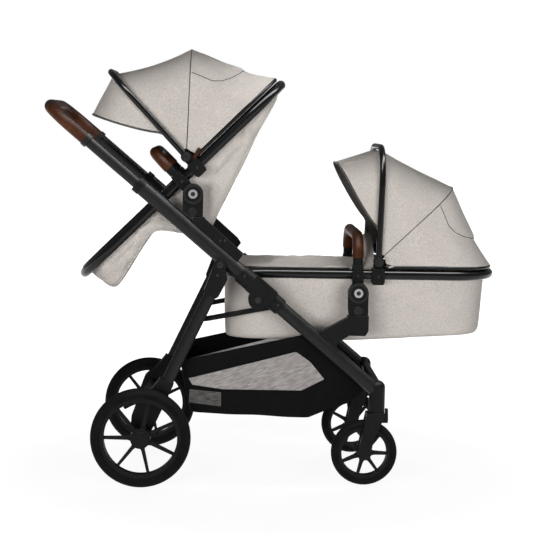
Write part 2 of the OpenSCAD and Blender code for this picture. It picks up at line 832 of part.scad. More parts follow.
// Half of a canopy's cross-section as [across, from the pivot], from the foot to the middle
arch_steps = 7;
function half_arch(half, top, bend) = concat(
    [[half, canopy_foot], [half, (canopy_foot + top - bend) / 2]],
    [for (i = [0 : arch_steps]) [half - bend + bend * cos(90 * i / arch_steps),
        top - bend + bend * sin(90 * i / arch_steps)]],
    [[(half - bend) / 2, top]]);
function mirrored(points) = [for (i = [len(points) - 1 : -1 : 0]) [-points[i][0], points[i][1]]];
function full_arch(half, top, bend) = concat(half_arch(half, top, bend), [[0, top]],
    mirrored(half_arch(half, top, bend)));
function turned(points, angle) = [
    for (p = points) [canopy_pivot[0] + p[1] * cos(angle), p[0], canopy_pivot[1] + p[1] * sin(angle)]];

// A row of cloth at a bow, and the rows drawn straight between two bows with a slight sag
bow_top = canopy_height - 2 * front_bow_r - 1;
function bow_row(angle, top, inset) = turned(
    full_arch(canopy_half - inset, top - inset, canopy_bend - inset), angle);
function front_row(inset) = bow_row(front_bow_angle, bow_top, inset);
function mid_row(inset) = bow_row(mid_bow_angle, mid_rise, inset);
function rear_row(inset) = bow_row(rear_angle, rear_reach, inset);
function sagged(p, sag) = [
    canopy_pivot[0] + (p[0] - canopy_pivot[0]) * (1 - sag), p[1],
    canopy_pivot[1] + (p[2] - canopy_pivot[1]) * (1 - sag)];
function between(row_a, row_b, share, sag) = [
    for (i = [0 : len(row_a) - 1])
        sagged(row_a[i] * (1 - share) + row_b[i] * share, 4 * sag * share * (1 - share))];

// The visor's reach in front of the bow at a height above the pivot
function visor_reach(height) = 3 + (visor_depth - 3)
    * pow(max(0, (height - visor_side) / (bow_top - visor_side)), visor_curve);
function visor_row(share, inset) = [
    for (p = full_arch(canopy_half - inset, bow_top - inset, canopy_bend - inset))
        let (at = turned([p], front_bow_angle)[0], reach = share * visor_reach(p[1]))
            [at[0] - reach * cos(visor_drop), at[1], at[2] - reach * sin(visor_drop)]];

front_sag = 0.008;
rear_sag = 0.03;
panel_steps = 5;
seam_share = 0.004;
function front_rows(inset) = concat(
    [visor_row(1, inset), visor_row(0.6, inset), visor_row(0.25, inset)],
    [for (k = [0 : panel_steps]) between(front_row(inset), mid_row(inset),
        (1 - seam_share) * k / panel_steps, front_sag)]);
function rear_rows(inset) = [
    for (k = [0 : panel_steps]) between(mid_row(inset), rear_row(inset),
        seam_share + (1 - seam_share) * k / panel_steps, rear_sag)];

module unit_front_panel() {
    sheet_skin(front_rows(0), front_rows(cloth));
}

module unit_rear_panel() {
    sheet_skin(rear_rows(0), rear_rows(cloth));
}

// Seat

module seat_feet() { color(plastic) in_unit(seat_hub, 0) unit_feet(seat_heel); }
module seat_release_left() { color(plastic) in_unit(seat_hub, 0) unit_release(); }
module seat_release_right() { mirror([0, 1, 0]) seat_release_left(); }
module seat_hub_caps() { color(silver) in_unit(seat_hub, 0) unit_hub_caps(); }
module seat_ring() { color(metal) in_seat() unit_ring(0); }
module seat_arms() { color(plastic) in_seat() unit_arms(); }
module seat_clamps() { color(plastic) in_seat() unit_clamps(); }
module seat_bumper_bar() { color(plastic) in_seat() unit_bar(); }
module seat_bumper_grip() { color(leather) in_seat() unit_bar_grip(); }
module seat_mid_bow() { color(metal) in_seat() unit_mid_bow(); }
module seat_rear_panel() { color(linen) in_seat() unit_rear_panel(); }
module seat_front_bow() { color(metal) in_seat() unit_front_bow(); }
module seat_front_panel() { color(linen) in_seat() unit_front_panel(); }

// Bucket: backrest, base and leg rest as one bent section, closed by side walls up to the ring
bucket_l = inner_l - cloth_gap;
bucket_wall = 12;
bucket_top = ring_rise + 2;
bucket_drawn_l = 389.7;
bucket_stretch = bucket_l / bucket_drawn_l;
bucket_line = [[363, 22], [258, -8], [93, -73], [-13, -103], [-64, -116], [-80, -108], [-101, -68],
    [-150, -12], [-167, -4], [-233, -16], [-349, -45], [-372, -36]];
bucket_inner_line = [[358, 35], [254, 5], [89, -59], [-17, -89], [-60, -101], [-70, -97], [-90, -62],
    [-141, -2], [-160, 9], [-233, -2], [-346, -30], [-360, -26]];
function stretched(points) = [for (p = points) [p[0] * bucket_stretch, p[1]]];
module seat_bucket() {
    color(linen) in_seat() difference() {
        intersection() {
            plate(cloth_gap - inner_w, inner_w - cloth_gap) polygon(concat(
                [[bucket_l, bucket_top], [bucket_l, 40]], stretched(bucket_line),
                [[-bucket_l, 30], [-bucket_l, bucket_top]]));
            translate([0, 0, -150]) linear_extrude(height = 260)
                polygon(outline(-bucket_l, bucket_l, inner_w - cloth_gap, inner_corner, inner_corner));
        }
        intersection() {
            plate(bucket_wall - inner_w, inner_w - bucket_wall) polygon(concat(
                [[bucket_l - bucket_wall, bucket_top + 1], [bucket_l - bucket_wall, 46]],
                stretched(bucket_inner_line),
                [[bucket_wall - bucket_l, 34], [bucket_wall - bucket_l, bucket_top + 1]]));
            translate([0, 0, -150]) linear_extrude(height = 260)
                polygon(outline(bucket_wall - bucket_l, bucket_l - bucket_wall, inner_w - bucket_wall,
                    inner_corner - bucket_wall, inner_corner - bucket_wall));
        }
    }
}

// Carrycot

module cot_feet() { color(plastic) in_cot() unit_feet(cot_heel); }
module cot_release_left() { color(plastic) in_cot() unit_release(); }
module cot_release_right() { mirror([0, 1, 0]) cot_release_left(); }
module cot_hub_caps() { color(silver) in_cot() unit_hub_caps(); }
module cot_ring() { color(metal) in_cot() unit_ring(0); }
module cot_arms() { color(plastic) in_cot() unit_arms(); }
module cot_clamps() { color(plastic) in_cot() unit_clamps(); }
module cot_handle_bar() { color(plastic) in_cot() unit_bar(); }
module cot_handle_grip() { color(leather) in_cot() unit_bar_grip(); }
module cot_mid_bow() { color(metal) in_cot() unit_mid_bow(); }
module cot_rear_panel() { color(linen) in_cot() unit_rear_panel(); }
module cot_front_bow() { color(metal) in_cot() unit_front_bow(); }
module cot_front_panel() { color(linen) in_cot() unit_front_panel(); }

// A level loop of the cot body, drawn in from the ring's inside
function cot_loop(inset, z) = at_height(outline(cloth_gap + inset - inner_l, inner_l - cloth_gap - inset,
    inner_w - cloth_gap - inset, inner_corner - inset, inner_corner - inset), z);
cot_floor = ring_rise - cot_depth;
cot_wall = 6;
module cot_body() {
    color(linen) in_cot() loop_skin([
        cot_loop(38, cot_floor), cot_loop(24, cot_floor + 5), cot_loop(15, cot_floor + 20),
        cot_loop(5, cot_floor + 100), cot_loop(0, ring_rise - 4), cot_loop(cot_wall, ring_rise - 4),
        cot_loop(5 + cot_wall, cot_floor + 100), cot_loop(15 + cot_wall, cot_floor + 20),
        cot_loop(34, cot_floor + 8)]);
}

// Mattress: drawn in at its lower and upper edge, with a crown
mattress_height = 36;
function pad_loop(inset, z) = at_height(outline(inset - inner_l, inner_l - inset, inner_w - inset,
    max(inner_corner - inset, 8), max(inner_corner - inset, 8)), cot_floor + 8 + cloth_gap + z);
module cot_mattress() {
    color(linen) in_cot() loop_skin([
        pad_loop(44, 0), pad_loop(38, 4), pad_loop(36, 14), pad_loop(38, 25), pad_loop(46, 31),
        pad_loop(72, 34.5), pad_loop(104, mattress_height)]);
}

// Apron: a low crowned cover over the foot end, tucked inside the ring, with a wind flap up in front
apron_front = 50;
apron_cloth = 8;
apron_edge = ring_rise + 8;
apron_top = ring_rise + 22;
apron_crown = 11;
apron_crown_run = 120;
apron_shoulder = 30;
flap_back = 14;
flap_run = 22;
flap_rise = 74;
apron_spread = [0, 0.4, 0.7, 0.86, 0.93, 0.975, 1];
apron_across = [for (k = [6 : -1 : -6]) sign(k) * apron_spread[abs(k)]];
apron_stations = concat(
    [for (d = [0, 3, 9, 18, 32, 58, 88, 116, 190, 260, 330]) d - inner_l + cloth_gap],
    [flap_back, flap_back + 8, flap_back + 18, flap_back + 28, apron_front]);
function apron_half(u) = inner_w - inner_corner + sqrt(pow(inner_corner - cloth_gap, 2)
    - pow(max(0, abs(u) - inner_l + inner_corner), 2));
function edge_share(d) = 1 - pow(1 - min(d, apron_shoulder) / apron_shoulder, 3);
function crown_share(u, t) = cos(90 * abs(t)) * sin(90 * min(1, (u + inner_l) / apron_crown_run));
function flap_share(u) = sin(90 * min(1, max(0, u - flap_back) / flap_run));
function apron_height(u, t) = apron_edge
    + (apron_top - apron_edge) * edge_share(min(apron_half(u) * (1 - abs(t)), u + inner_l - cloth_gap))
    + apron_crown * crown_share(u, t)
    + flap_rise * flap_share(u) * sqrt(cos(90 * abs(t)));
function apron_rows(drop) = [
    for (u = apron_stations) [for (t = apron_across) [u, t * apron_half(u), apron_height(u, t) - drop]]];
module cot_apron() {
    color(linen) in_cot() sheet_skin(apron_rows(0), apron_rows(apron_cloth));
}

front_legs();
front_cross_tube();
caster_housings();
fold_joint_lower();
frame_pins();
cot_adapters();
basket();
push_tubes();
push_collars();
fold_joint_upper();
seat_adapters();
handle_tube();
handle_grip();
rear_legs();
rear_leg_heads();
rear_axle_unit();
brake_pedal();
fold_link();
rear_right_rim();
rear_right_tyre();
rear_left_rim();
rear_left_tyre();
front_right_rim();
front_right_tyre();
front_left_rim();
front_left_tyre();
fork_right();
fork_left();
swivel_lock_right();
swivel_lock_left();
seat_feet();
seat_release_right();
seat_release_left();
seat_hub_caps();
seat_ring();
seat_arms();
seat_clamps();
seat_bucket();
seat_bumper_bar();
seat_bumper_grip();
seat_mid_bow();
seat_rear_panel();
seat_front_bow();
seat_front_panel();
cot_feet();
cot_release_right();
cot_release_left();
cot_hub_caps();
cot_ring();
cot_arms();
cot_clamps();
cot_body();
cot_mattress();
cot_apron();
cot_handle_bar();
cot_handle_grip();
cot_mid_bow();
cot_rear_panel();
cot_front_bow();
cot_front_panel();
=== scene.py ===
import json
import math

import bpy
from mathutils import Matrix, Vector, noise


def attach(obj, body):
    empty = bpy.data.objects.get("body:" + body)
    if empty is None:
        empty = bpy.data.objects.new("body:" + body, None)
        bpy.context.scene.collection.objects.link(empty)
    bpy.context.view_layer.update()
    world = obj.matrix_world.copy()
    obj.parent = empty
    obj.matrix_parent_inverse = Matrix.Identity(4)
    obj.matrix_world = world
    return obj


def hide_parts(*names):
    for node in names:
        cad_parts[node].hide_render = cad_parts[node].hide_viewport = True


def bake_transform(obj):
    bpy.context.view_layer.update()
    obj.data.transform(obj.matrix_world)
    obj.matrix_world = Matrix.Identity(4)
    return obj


# Looks of a tandem pram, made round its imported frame.
# Metres, with +X forward, +Y to the pram's left and +Z up. Sizes written below are millimetres.
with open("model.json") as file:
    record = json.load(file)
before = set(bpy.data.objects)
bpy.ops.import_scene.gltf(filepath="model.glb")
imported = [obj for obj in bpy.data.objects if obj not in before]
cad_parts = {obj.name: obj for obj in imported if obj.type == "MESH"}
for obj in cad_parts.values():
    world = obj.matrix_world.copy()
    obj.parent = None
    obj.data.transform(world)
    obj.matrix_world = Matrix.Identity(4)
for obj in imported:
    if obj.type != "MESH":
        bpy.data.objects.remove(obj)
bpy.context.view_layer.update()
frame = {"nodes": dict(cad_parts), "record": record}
nodes = frame["nodes"]
MM = 0.001

# Ring tubes, and where the seat and the cot sit
RING_RISE = 50.0
RING_R = 14.0
RING_L = 404.0
RING_W = 180.0
INNER_L = RING_L - RING_R
INNER_W = RING_W - RING_R
INNER_CORNER = 116.0
ARM_FACE = 203.0
HUB_FACE = 233.0
SEAT = {
    "name": "seat", "hub": (-232.73, 847.03), "angle": 44.6, "body": "seat", "foot_body": "seat_mount",
    "mid": "seat_canopy_mid", "front": "seat_canopy_front", "front_sag": 0.03, "rear_sag": 0.036,
}
COT = {
    "name": "cot", "hub": (251.3, 567.0), "angle": 0.0, "body": "cot", "foot_body": "cot",
    "mid": "cot_hood_mid", "front": "cot_hood_front", "front_sag": 0.006, "rear_sag": 0.034,
}

# Canopies, in the frame of the seat or the cot
PIVOT = (59.3, 90.6)
FRONT_ANGLE = 88.5
MID_ANGLE = 43.6
FRONT_TOP = 321.0
MID_TOP = 312.0
REAR_TOP = 344.7
CANOPY_HALF = 184.9
CANOPY_BEND = 105.0
CANOPY_FOOT = 24.0
BOW_FACE = 207.5
HOOD_CLOTH = 2.4
# Steps along half of a bow: up its side, round its corner and over its top
SIDE_STEPS = 9
CORNER_STEPS = 12
TOP_STEPS = 7
# Steps of cloth from bow to bow
VISOR_STEPS = 6
FRONT_STEPS = 14
REAR_STEPS = 26
# Visor: its depth over the top, where it starts up the sides, its reach there, and its drop in degrees
VISOR_DEPTH = 132.0
VISOR_SIDE = 98.0
VISOR_FOOT = 3.0
VISOR_DROP = 18.0
VISOR_CURVE = 0.85
# Sewn lines: their radius, and how far they stand off the cloth
BINDING_R = 3.2
BINDING_OUT = -1.0
SEAM_R = 1.2
SEAM_OUT = 0.6
HEM_R = 0.9
HEM_OUT = 1.0

# Rails on the rings, round the head ends and round the foot ends: place off the ring, radius and run
RAIL_N = RING_RISE + RING_R + 8.5
RAIL_R = 6.0
RAIL_INSET = 3.0
RAIL_START = 82.0
FOOT_RAIL_N = RING_RISE + RING_R + 1.5
FOOT_RAIL_R = 3.0
FOOT_RAIL_HALF = 172.0
FOOT_RAIL_START = 24.0
FOOT_RAIL_BEND = 120.0
# How far the hood's lower edge laps over its rail, and the run over which it comes up to the pivot
HOOD_LAP = 1.5
HOOD_RUN = 40.0

SIDES = ((-1, "right"), (1, "left"))
# Degrees up to which a cloth's faces are shaded as one surface
CLOTH_SMOOTH = 60


def unit_point(unit, u, y, n):
    """A point given along the ring, across the pram and off the ring."""
    turn = math.radians(unit["angle"])
    x = unit["hub"][0] + u * math.cos(turn) - n * math.sin(turn)
    z = unit["hub"][1] + u * math.sin(turn) + n * math.cos(turn)
    return Vector((x, y, z)) * MM


def unit_matrix(unit):
    """The place and turn of the seat or the cot."""
    turn = Matrix.Rotation(-math.radians(unit["angle"]), 4, "Y")
    return Matrix.Translation(Vector((unit["hub"][0], 0, unit["hub"][1])) * MM) @ turn


# Modelling helpers


def make_active(obj):
    bpy.ops.object.select_all(action="DESELECT")
    obj.select_set(True)
    bpy.context.view_layer.objects.active = obj


def apply_modifiers(obj):
    make_active(obj)
    for modifier in list(obj.modifiers):
        bpy.ops.object.modifier_apply(modifier=modifier.name)


def smooth(obj, degrees=35):
    make_active(obj)
    bpy.ops.object.shade_smooth_by_angle(angle=math.radians(degrees))


def outward(obj):
    """Merges doubled points and turns the faces of a closed piece outwards."""
    make_active(obj)
    bpy.ops.object.mode_set(mode="EDIT")
    bpy.ops.mesh.select_all(action="SELECT")
    bpy.ops.mesh.remove_doubles(threshold=0.00002)
    bpy.ops.mesh.normals_make_consistent(inside=False)
    bpy.ops.object.mode_set(mode="OBJECT")


def pick_faces(obj, test):
    """Goes into edit mode with the faces selected that pass a test."""
    for group in (obj.data.vertices, obj.data.edges):
        for item in group:
            item.select = False
    for face in obj.data.polygons:
        face.select = test(face)
    bpy.ops.object.mode_set(mode="EDIT")
    bpy.ops.mesh.select_mode(type="FACE")


def round_edges(obj, width):
    modifier = obj.modifiers.new("edges", "BEVEL")
    modifier.width = width * MM
    modifier.segments = 2
    modifier.limit_method = "ANGLE"
    modifier.angle_limit = math.radians(40)
    apply_modifiers(obj)


def settle(obj, matrix, material, body):
    """Puts a modelled piece in its place, bakes that into its mesh and fixes it to a body."""
    obj.matrix_world = matrix
    make_active(obj)
    bpy.ops.object.transform_apply(location=True, rotation=True, scale=True)
    outward(obj)
    smooth(obj)
    obj.data.materials.clear()
    obj.data.materials.append(material)
    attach(obj, body)


def copy_of(obj, name):
    twin = obj.copy()
    twin.data = obj.data.copy()
    twin.name = name
    bpy.context.scene.collection.objects.link(twin)
    return twin


def facing_side(x, y, z):
    """A place for a piece modelled about Z, turned so that its top looks away from the pram's middle."""
    tip = Matrix.Rotation(math.radians(90 if y < 0 else -90), 4, "X")
    return Matrix.Translation(Vector((x, y, z)) * MM) @ tip


# Materials


def start_material(name, colour, roughness, specular=0.5):
    material = bpy.data.materials.new(name)
    material.use_nodes = True
    shader = material.node_tree.nodes["Principled BSDF"]
    shader.inputs["Base Color"].default_value = (*colour, 1)
    shader.inputs["Roughness"].default_value = roughness
    shader.inputs["Specular IOR Level"].default_value = specular
    return material, material.node_tree, shader


def add_node(tree, kind, **values):
    made = tree.nodes.new(kind)
    for key, value in values.items():
        made.inputs[key.replace("_", " ")].default_value = value
    return made


def object_coordinates(tree, scale=(1, 1, 1), turn=0.0):
    """Coordinates turned about Y by some degrees, then scaled."""
    place = tree.nodes.new("ShaderNodeTexCoord")
    turned = add_node(tree, "ShaderNodeMapping", Rotation=(0, math.radians(turn), 0))
    scaled = add_node(tree, "ShaderNodeMapping", Scale=scale)
    tree.links.new(place.outputs["Object"], turned.inputs["Vector"])
    tree.links.new(turned.outputs["Vector"], scaled.inputs["Vector"])
    return scaled.outputs["Vector"]


def noise_on(tree, vector, scale, detail=3.0, roughness=0.55):
    made = add_node(tree, "ShaderNodeTexNoise", Scale=scale, Detail=detail, Roughness=roughness)
    tree.links.new(vector, made.inputs["Vector"])
    return made.outputs["Fac"]


# Scale at which the band pattern has a period of one metre
BAND_SCALE = 0.314


def wave_on(tree, vector, direction, period):
    """A band pattern with a period in metres."""
    made = add_node(tree, "ShaderNodeTexWave", Scale=BAND_SCALE / period, Distortion=1.2, Detail=2.0)
    made.bands_direction = direction
    tree.links.new(vector, made.inputs["Vector"])
    return made.outputs["Fac"]


def mixed(tree, a, b, share):
    made = add_node(tree, "ShaderNodeMix", Factor=share)
    tree.links.new(a, made.inputs[2])
    tree.links.new(b, made.inputs[3])
    return made.outputs[0]


def ramp(tree, value, stops):
    made = tree.nodes.new("ShaderNodeValToRGB")
    bar = made.color_ramp
    while len(bar.elements) < len(stops):
        bar.elements.new(0.5)
    for element, (place, colour) in zip(bar.elements, stops):
        element.position = place
        element.color = (*colour, 1)
    tree.links.new(value, made.inputs["Fac"])
    return made.outputs["Color"]


def span(tree, value, low, high):
    made = add_node(tree, "ShaderNodeMapRange", To_Min=low, To_Max=high)
    tree.links.new(value, made.inputs["Value"])
    return made.outputs["Result"]


def bump(tree, shader, height, depth, normal=None):
    made = add_node(tree, "ShaderNodeBump", Distance=depth, Strength=1.0)
    tree.links.new(height, made.inputs["Height"])
    if normal is not None:
        tree.links.new(normal, made.inputs["Normal"])
    tree.links.new(made.outputs["Normal"], shader.inputs["Normal"])


def lightened_edges(tree, radius):
    """How much a place is lightened along an edge, partly as wear and partly as a painted highlight, and
    the normal of the softened edge.
    """
    rounded = add_node(tree, "ShaderNodeBevel", Radius=radius)
    rounded.samples = 6
    place = tree.nodes.new("ShaderNodeNewGeometry")
    alike = tree.nodes.new("ShaderNodeVectorMath")
    alike.operation = "DOT_PRODUCT"
    tree.links.new(rounded.outputs["Normal"], alike.inputs[0])
    tree.links.new(place.outputs["Normal"], alike.inputs[1])
    edge_lightening = add_node(tree, "ShaderNodeMapRange", From_Min=0.99, From_Max=0.8, To_Min=0.0, To_Max=1.0)
    tree.links.new(alike.outputs["Value"], edge_lightening.inputs["Value"])
    return edge_lightening.outputs["Result"], rounded.outputs["Normal"]


def woven_cloth(name, dark, mid, light, sheen):
    """A plain weave in two-tone yarn, with slubs along and across it."""
    material, tree, shader = start_material(name, mid, 0.92, 0.1)
    shader.inputs["Sheen Weight"].default_value = sheen
    shader.inputs["Sheen Roughness"].default_value = 0.5
    plain = object_coordinates(tree)
    along = noise_on(tree, object_coordinates(tree, (200, 700, 1100)), 1.0)
    upright = noise_on(tree, object_coordinates(tree, (1100, 700, 200)), 1.0)
    yarn = mixed(tree, along, upright, 0.5)
    cloud = noise_on(tree, plain, 14.0, 4.0)
    tone = mixed(tree, yarn, cloud, 0.1)
    tree.links.new(ramp(tree, tone, [(0.38, dark), (0.5, mid), (0.62, light)]), shader.inputs["Base Color"])
    warp = wave_on(tree, plain, "X", 0.0016)
    weft = wave_on(tree, plain, "Z", 0.0016)
    weave = mixed(tree, mixed(tree, warp, weft, 0.5), yarn, 0.5)
    bump(tree, shader, weave, 0.0005)
    return material


def coated_tube(name, colour, low, high):
    """A black coat with faint rubbing marks, between two roughnesses."""
    material, tree, shader = start_material(name, colour, low, 0.27)
    plain = object_coordinates(tree)
    marks = noise_on(tree, plain, 60.0, 5.0)
    tree.links.new(span(tree, marks, low, high), shader.inputs["Roughness"])
    lift = [channel * 1.6 for channel in colour]
    tree.links.new(ramp(tree, marks, [(0.35, colour), (0.75, lift)]), shader.inputs["Base Color"])
    bump(tree, shader, noise_on(tree, plain, 240.0, 3.0), 0.00002)
    return material


def moulded_plastic(name, colour, roughness):
    """Dark nylon with a fine spark-eroded grain, and edges painted lighter, partly as wear and partly as a
    painted highlight.
    """
    material, tree, shader = start_material(name, colour, roughness, 0.14)
    plain = object_coordinates(tree)
    grain = noise_on(tree, plain, 1500.0, 2.0)
    cloud = noise_on(tree, plain, 25.0, 4.0)
    lift = [channel * 1.5 for channel in colour]
    edge_lightening, soft_normal = lightened_edges(tree, 0.0016)
    edge_tone = tree.nodes.new("ShaderNodeMix")
    edge_tone.data_type = "RGBA"
    tree.links.new(edge_lightening, edge_tone.inputs["Factor"])
    tree.links.new(ramp(tree, cloud, [(0.35, colour), (0.7, lift)]), edge_tone.inputs["A"])
    # Edges are 4.5 times lighter: partly rubbed wear, partly a painted highlight
    edge_tone.inputs["B"].default_value = (*[channel * 4.5 for channel in colour], 1)
    tree.links.new(edge_tone.outputs["Result"], shader.inputs["Base Color"])
    tree.links.new(span(tree, cloud, roughness - 0.06, roughness + 0.1), shader.inputs["Roughness"])
    bump(tree, shader, grain, 0.00005, soft_normal)
    return material


def brushed_steel(name, colour):
    material, tree, shader = start_material(name, colour, 0.35)
    shader.inputs["Metallic"].default_value = 1.0
    lines = noise_on(tree, object_coordinates(tree, (200, 200, 3000)), 1.0)
    tree.links.new(span(tree, lines, 0.3, 0.5), shader.inputs["Roughness"])
    bump(tree, shader, lines, 0.00006)
    return material


def foam_rubber(name):
    """Solid foam tyre: dull, finely pitted, a little dusty."""
    material, tree, shader = start_material(name, (0.006, 0.006, 0.006), 0.8, 0.08)
    plain = object_coordinates(tree)
    dust = noise_on(tree, plain, 30.0, 5.0)
    stops = [(0.4, (0.0035, 0.0035, 0.0035)), (0.75, (0.008, 0.008, 0.0078))]
    tree.links.new(ramp(tree, dust, stops), shader.inputs["Base Color"])
    tree.links.new(span(tree, dust, 0.65, 0.85), shader.inputs["Roughness"])
    bump(tree, shader, noise_on(tree, plain, 900.0, 3.0), 0.0003)
    return material


def grained_leather(name):
    material, tree, shader = start_material(name, (0.095, 0.032, 0.013), 0.45, 0.14)
    plain = object_coordinates(tree)
    cloud = noise_on(tree, plain, 22.0, 5.0)
    stops = [(0.3, (0.03, 0.0092, 0.0034)), (0.52, (0.062, 0.0195, 0.0072)), (0.75, (0.108, 0.037, 0.014))]
    tree.links.new(ramp(tree, cloud, stops), shader.inputs["Base Color"])
    cells = add_node(tree, "ShaderNodeTexVoronoi", Scale=620.0)
    tree.links.new(plain, cells.inputs["Vector"])
    tree.links.new(span(tree, cloud, 0.34, 0.52), shader.inputs["Roughness"])
    bump(tree, shader, mixed(tree, cells.outputs["Distance"], noise_on(tree, plain, 260.0), 0.4), 0.0004)
    return material


def basket_net(name, turn, dark, mid, light):
    """Knitted net with fine streaks, slanting by some degrees."""
    material, tree, shader = start_material(name, mid, 0.88, 0.2)
    streak = noise_on(tree, object_coordinates(tree, (45, 60, 520), turn), 1.0, 5.0, 0.65)
    knit = wave_on(tree, object_coordinates(tree), "DIAGONAL", 0.0024)
    tone = mixed(tree, streak, knit, 0.15)
    tree.links.new(ramp(tree, tone, [(0.38, dark), (0.5, mid), (0.62, light)]), shader.inputs["Base Color"])
    bump(tree, shader, knit, 0.0005)
    return material


linen = woven_cloth("linen", (0.35, 0.32, 0.295), (0.5, 0.462, 0.428), (0.63, 0.585, 0.545), 0.1)
hood_lining = woven_cloth(
    "hood_lining", (0.045, 0.042, 0.04), (0.075, 0.07, 0.067), (0.11, 0.104, 0.1), 0.05)
lining = woven_cloth("lining", (0.4, 0.375, 0.345), (0.55, 0.515, 0.475), (0.66, 0.62, 0.58), 0.1)
black_cloth = woven_cloth(
    "black_cloth", (0.003, 0.003, 0.003), (0.0048, 0.0048, 0.0048), (0.008, 0.008, 0.008), 0.0)
dark_thread = woven_cloth(
    "dark_thread", (0.02, 0.019, 0.018), (0.045, 0.042, 0.04), (0.09, 0.083, 0.078), 0.0)
binding_cloth = woven_cloth(
    "binding_cloth", (0.05, 0.047, 0.045), (0.085, 0.08, 0.077), (0.13, 0.123, 0.118), 0.05)
tube_black = coated_tube("tube_black", (0.0042, 0.0042, 0.0044), 0.16, 0.26)
frame_black = coated_tube("frame_black", (0.0052, 0.0052, 0.0054), 0.4, 0.52)
nylon = moulded_plastic("nylon", (0.0042, 0.0044, 0.0044), 0.46)
# A lighter copy of the nylon, its lightness a painted highlight, for the release buttons, hub rings, leg
# caps and pivot caps
nylon_painted_light = moulded_plastic("nylon_painted_light", (0.0135, 0.0135, 0.014), 0.34)
steel = brushed_steel("steel", (0.55, 0.55, 0.57))
dark_steel = brushed_steel("dark_steel", (0.05, 0.05, 0.052))
tyre_rubber = foam_rubber("tyre_rubber")
leather = grained_leather("leather")
net = basket_net("net", 24, (0.17, 0.155, 0.15), (0.27, 0.25, 0.243), (0.42, 0.395, 0.385))
# A lighter copy of the net for its inside, painted bright where it lies in shade
net_painted_bright = basket_net("net_painted_bright", 24, (0.5, 0.48, 0.47), (0.68, 0.66, 0.65), (0.85, 0.83, 0.82))
label_cloth = basket_net("label_cloth", 4, (0.028, 0.026, 0.026), (0.075, 0.07, 0.069), (0.15, 0.143, 0.14))

FINISH = {
    "tube": tube_black, "plastic": nylon, "steel": steel, "tyre": tyre_rubber, "leather": leather,
    "linen": linen, "dark_cloth": black_cloth,
}
for part in frame["record"]["subparts"]:
    piece = nodes[part["node"]]
    piece.data.materials.clear()
    piece.data.materials.append(FINISH[part["material_slot"]])
nodes["frame_pins"].data.materials[0] = dark_steel
for name in ("front_legs", "front_cross_tube", "push_tubes", "handle_tube", "rear_legs", "fold_link"):
    nodes[name].data.materials[0] = frame_black
# The release buttons take the lighter nylon, whose lightness is a painted highlight
for unit in ("seat", "cot"):
    for side in ("right", "left"):
        nodes[f"{unit}_release_{side}"].data.materials[0] = nylon_painted_light


# Cloth helpers


def cloth_grid(name, rows, material):
    """A sheet through rows of points."""
    across = len(rows[0])
    faces = []
    for j in range(len(rows) - 1):
        for i in range(across - 1):
            one = j * across + i
            faces.append((one, one + 1, one + across + 1, one + across))
    mesh = bpy.data.meshes.new(name)
    mesh.from_pydata([tuple(p) for row in rows for p in row], [], faces)
    mesh.materials.append(material)
    mesh.update()
    piece = bpy.data.objects.new(name, mesh)
    bpy.context.scene.collection.objects.link(piece)
    return piece


def facing(piece, away_from):
    """Turns an open sheet so that its faces look away from a point."""
    total = sum((p.normal.dot(p.center - away_from) * p.area for p in piece.data.polygons), 0.0)
    if total < 0:
        piece.data.flip_normals()
        piece.data.update()


def thicken(piece, thickness, inside=None):
    """Gives a sheet its thickness on the inner side, where it may have another material."""
    modifier = piece.modifiers.new("thickness", "SOLIDIFY")
    modifier.thickness = thickness * MM
    modifier.offset = -1
    if inside is not None:
        piece.data.materials.append(inside)
        modifier.material_offset = 1
    apply_modifiers(piece)


# How narrow the ridges of sharp folds are
RIDGE = 5


def crumple(piece, height, sizes, seed, hold=None, turn=0.0, sharp=False):
    """Moves points along their normals in folds with sizes along, across and upright, tipped about Y.

    hold(point) gives the share that stays still. Sharp folds are narrow ridges with flat cloth between.
    """
    shift = Vector((seed, 1.7 * seed, -0.6 * seed))
    tip = Matrix.Rotation(math.radians(turn), 3, "Y")
    moves = []
    for v in piece.data.vertices:
        free = 1.0 if hold is None else 1.0 - hold(v.co)
        place = Vector([a / (size * MM) for a, size in zip(tip @ v.co, sizes)]) + shift
        fold = noise.noise(place)
        if sharp:
            fold = max(0.0, 1 - RIDGE * abs(fold))
        moves.append(v.normal * (height * MM * free * fold))
    for v, move in zip(piece.data.vertices, moves):
        v.co += move
    piece.data.update()


def on_sheet(piece, across, row, place, out):
    """A point a little off a sheet that has no thickness yet, at fractions of its rows and columns."""
    j, i = int(row), int(place)
    s, t = row - j, place - i
    corners = ((0, 0, (1 - s) * (1 - t)), (0, 1, (1 - s) * t), (1, 0, s * (1 - t)), (1, 1, s * t))
    total = Vector((0, 0, 0))
    for down, along, share in corners:
        if share > 0:
            v = piece.data.vertices[(j + down) * across + i + along]
            total += (v.co + v.normal * (out * MM)) * share
    return total


def table_value(table, at):
    """A value read from a table of (place, value), held at its ends."""
    if at <= table[0][0]:
        return table[0][1]
    for (a, low), (b, high) in zip(table, table[1:]):
        if at <= b:
            return low + (high - low) * (at - a) / (b - a)
    return table[-1][1]


PUFF_FRAMES = 20


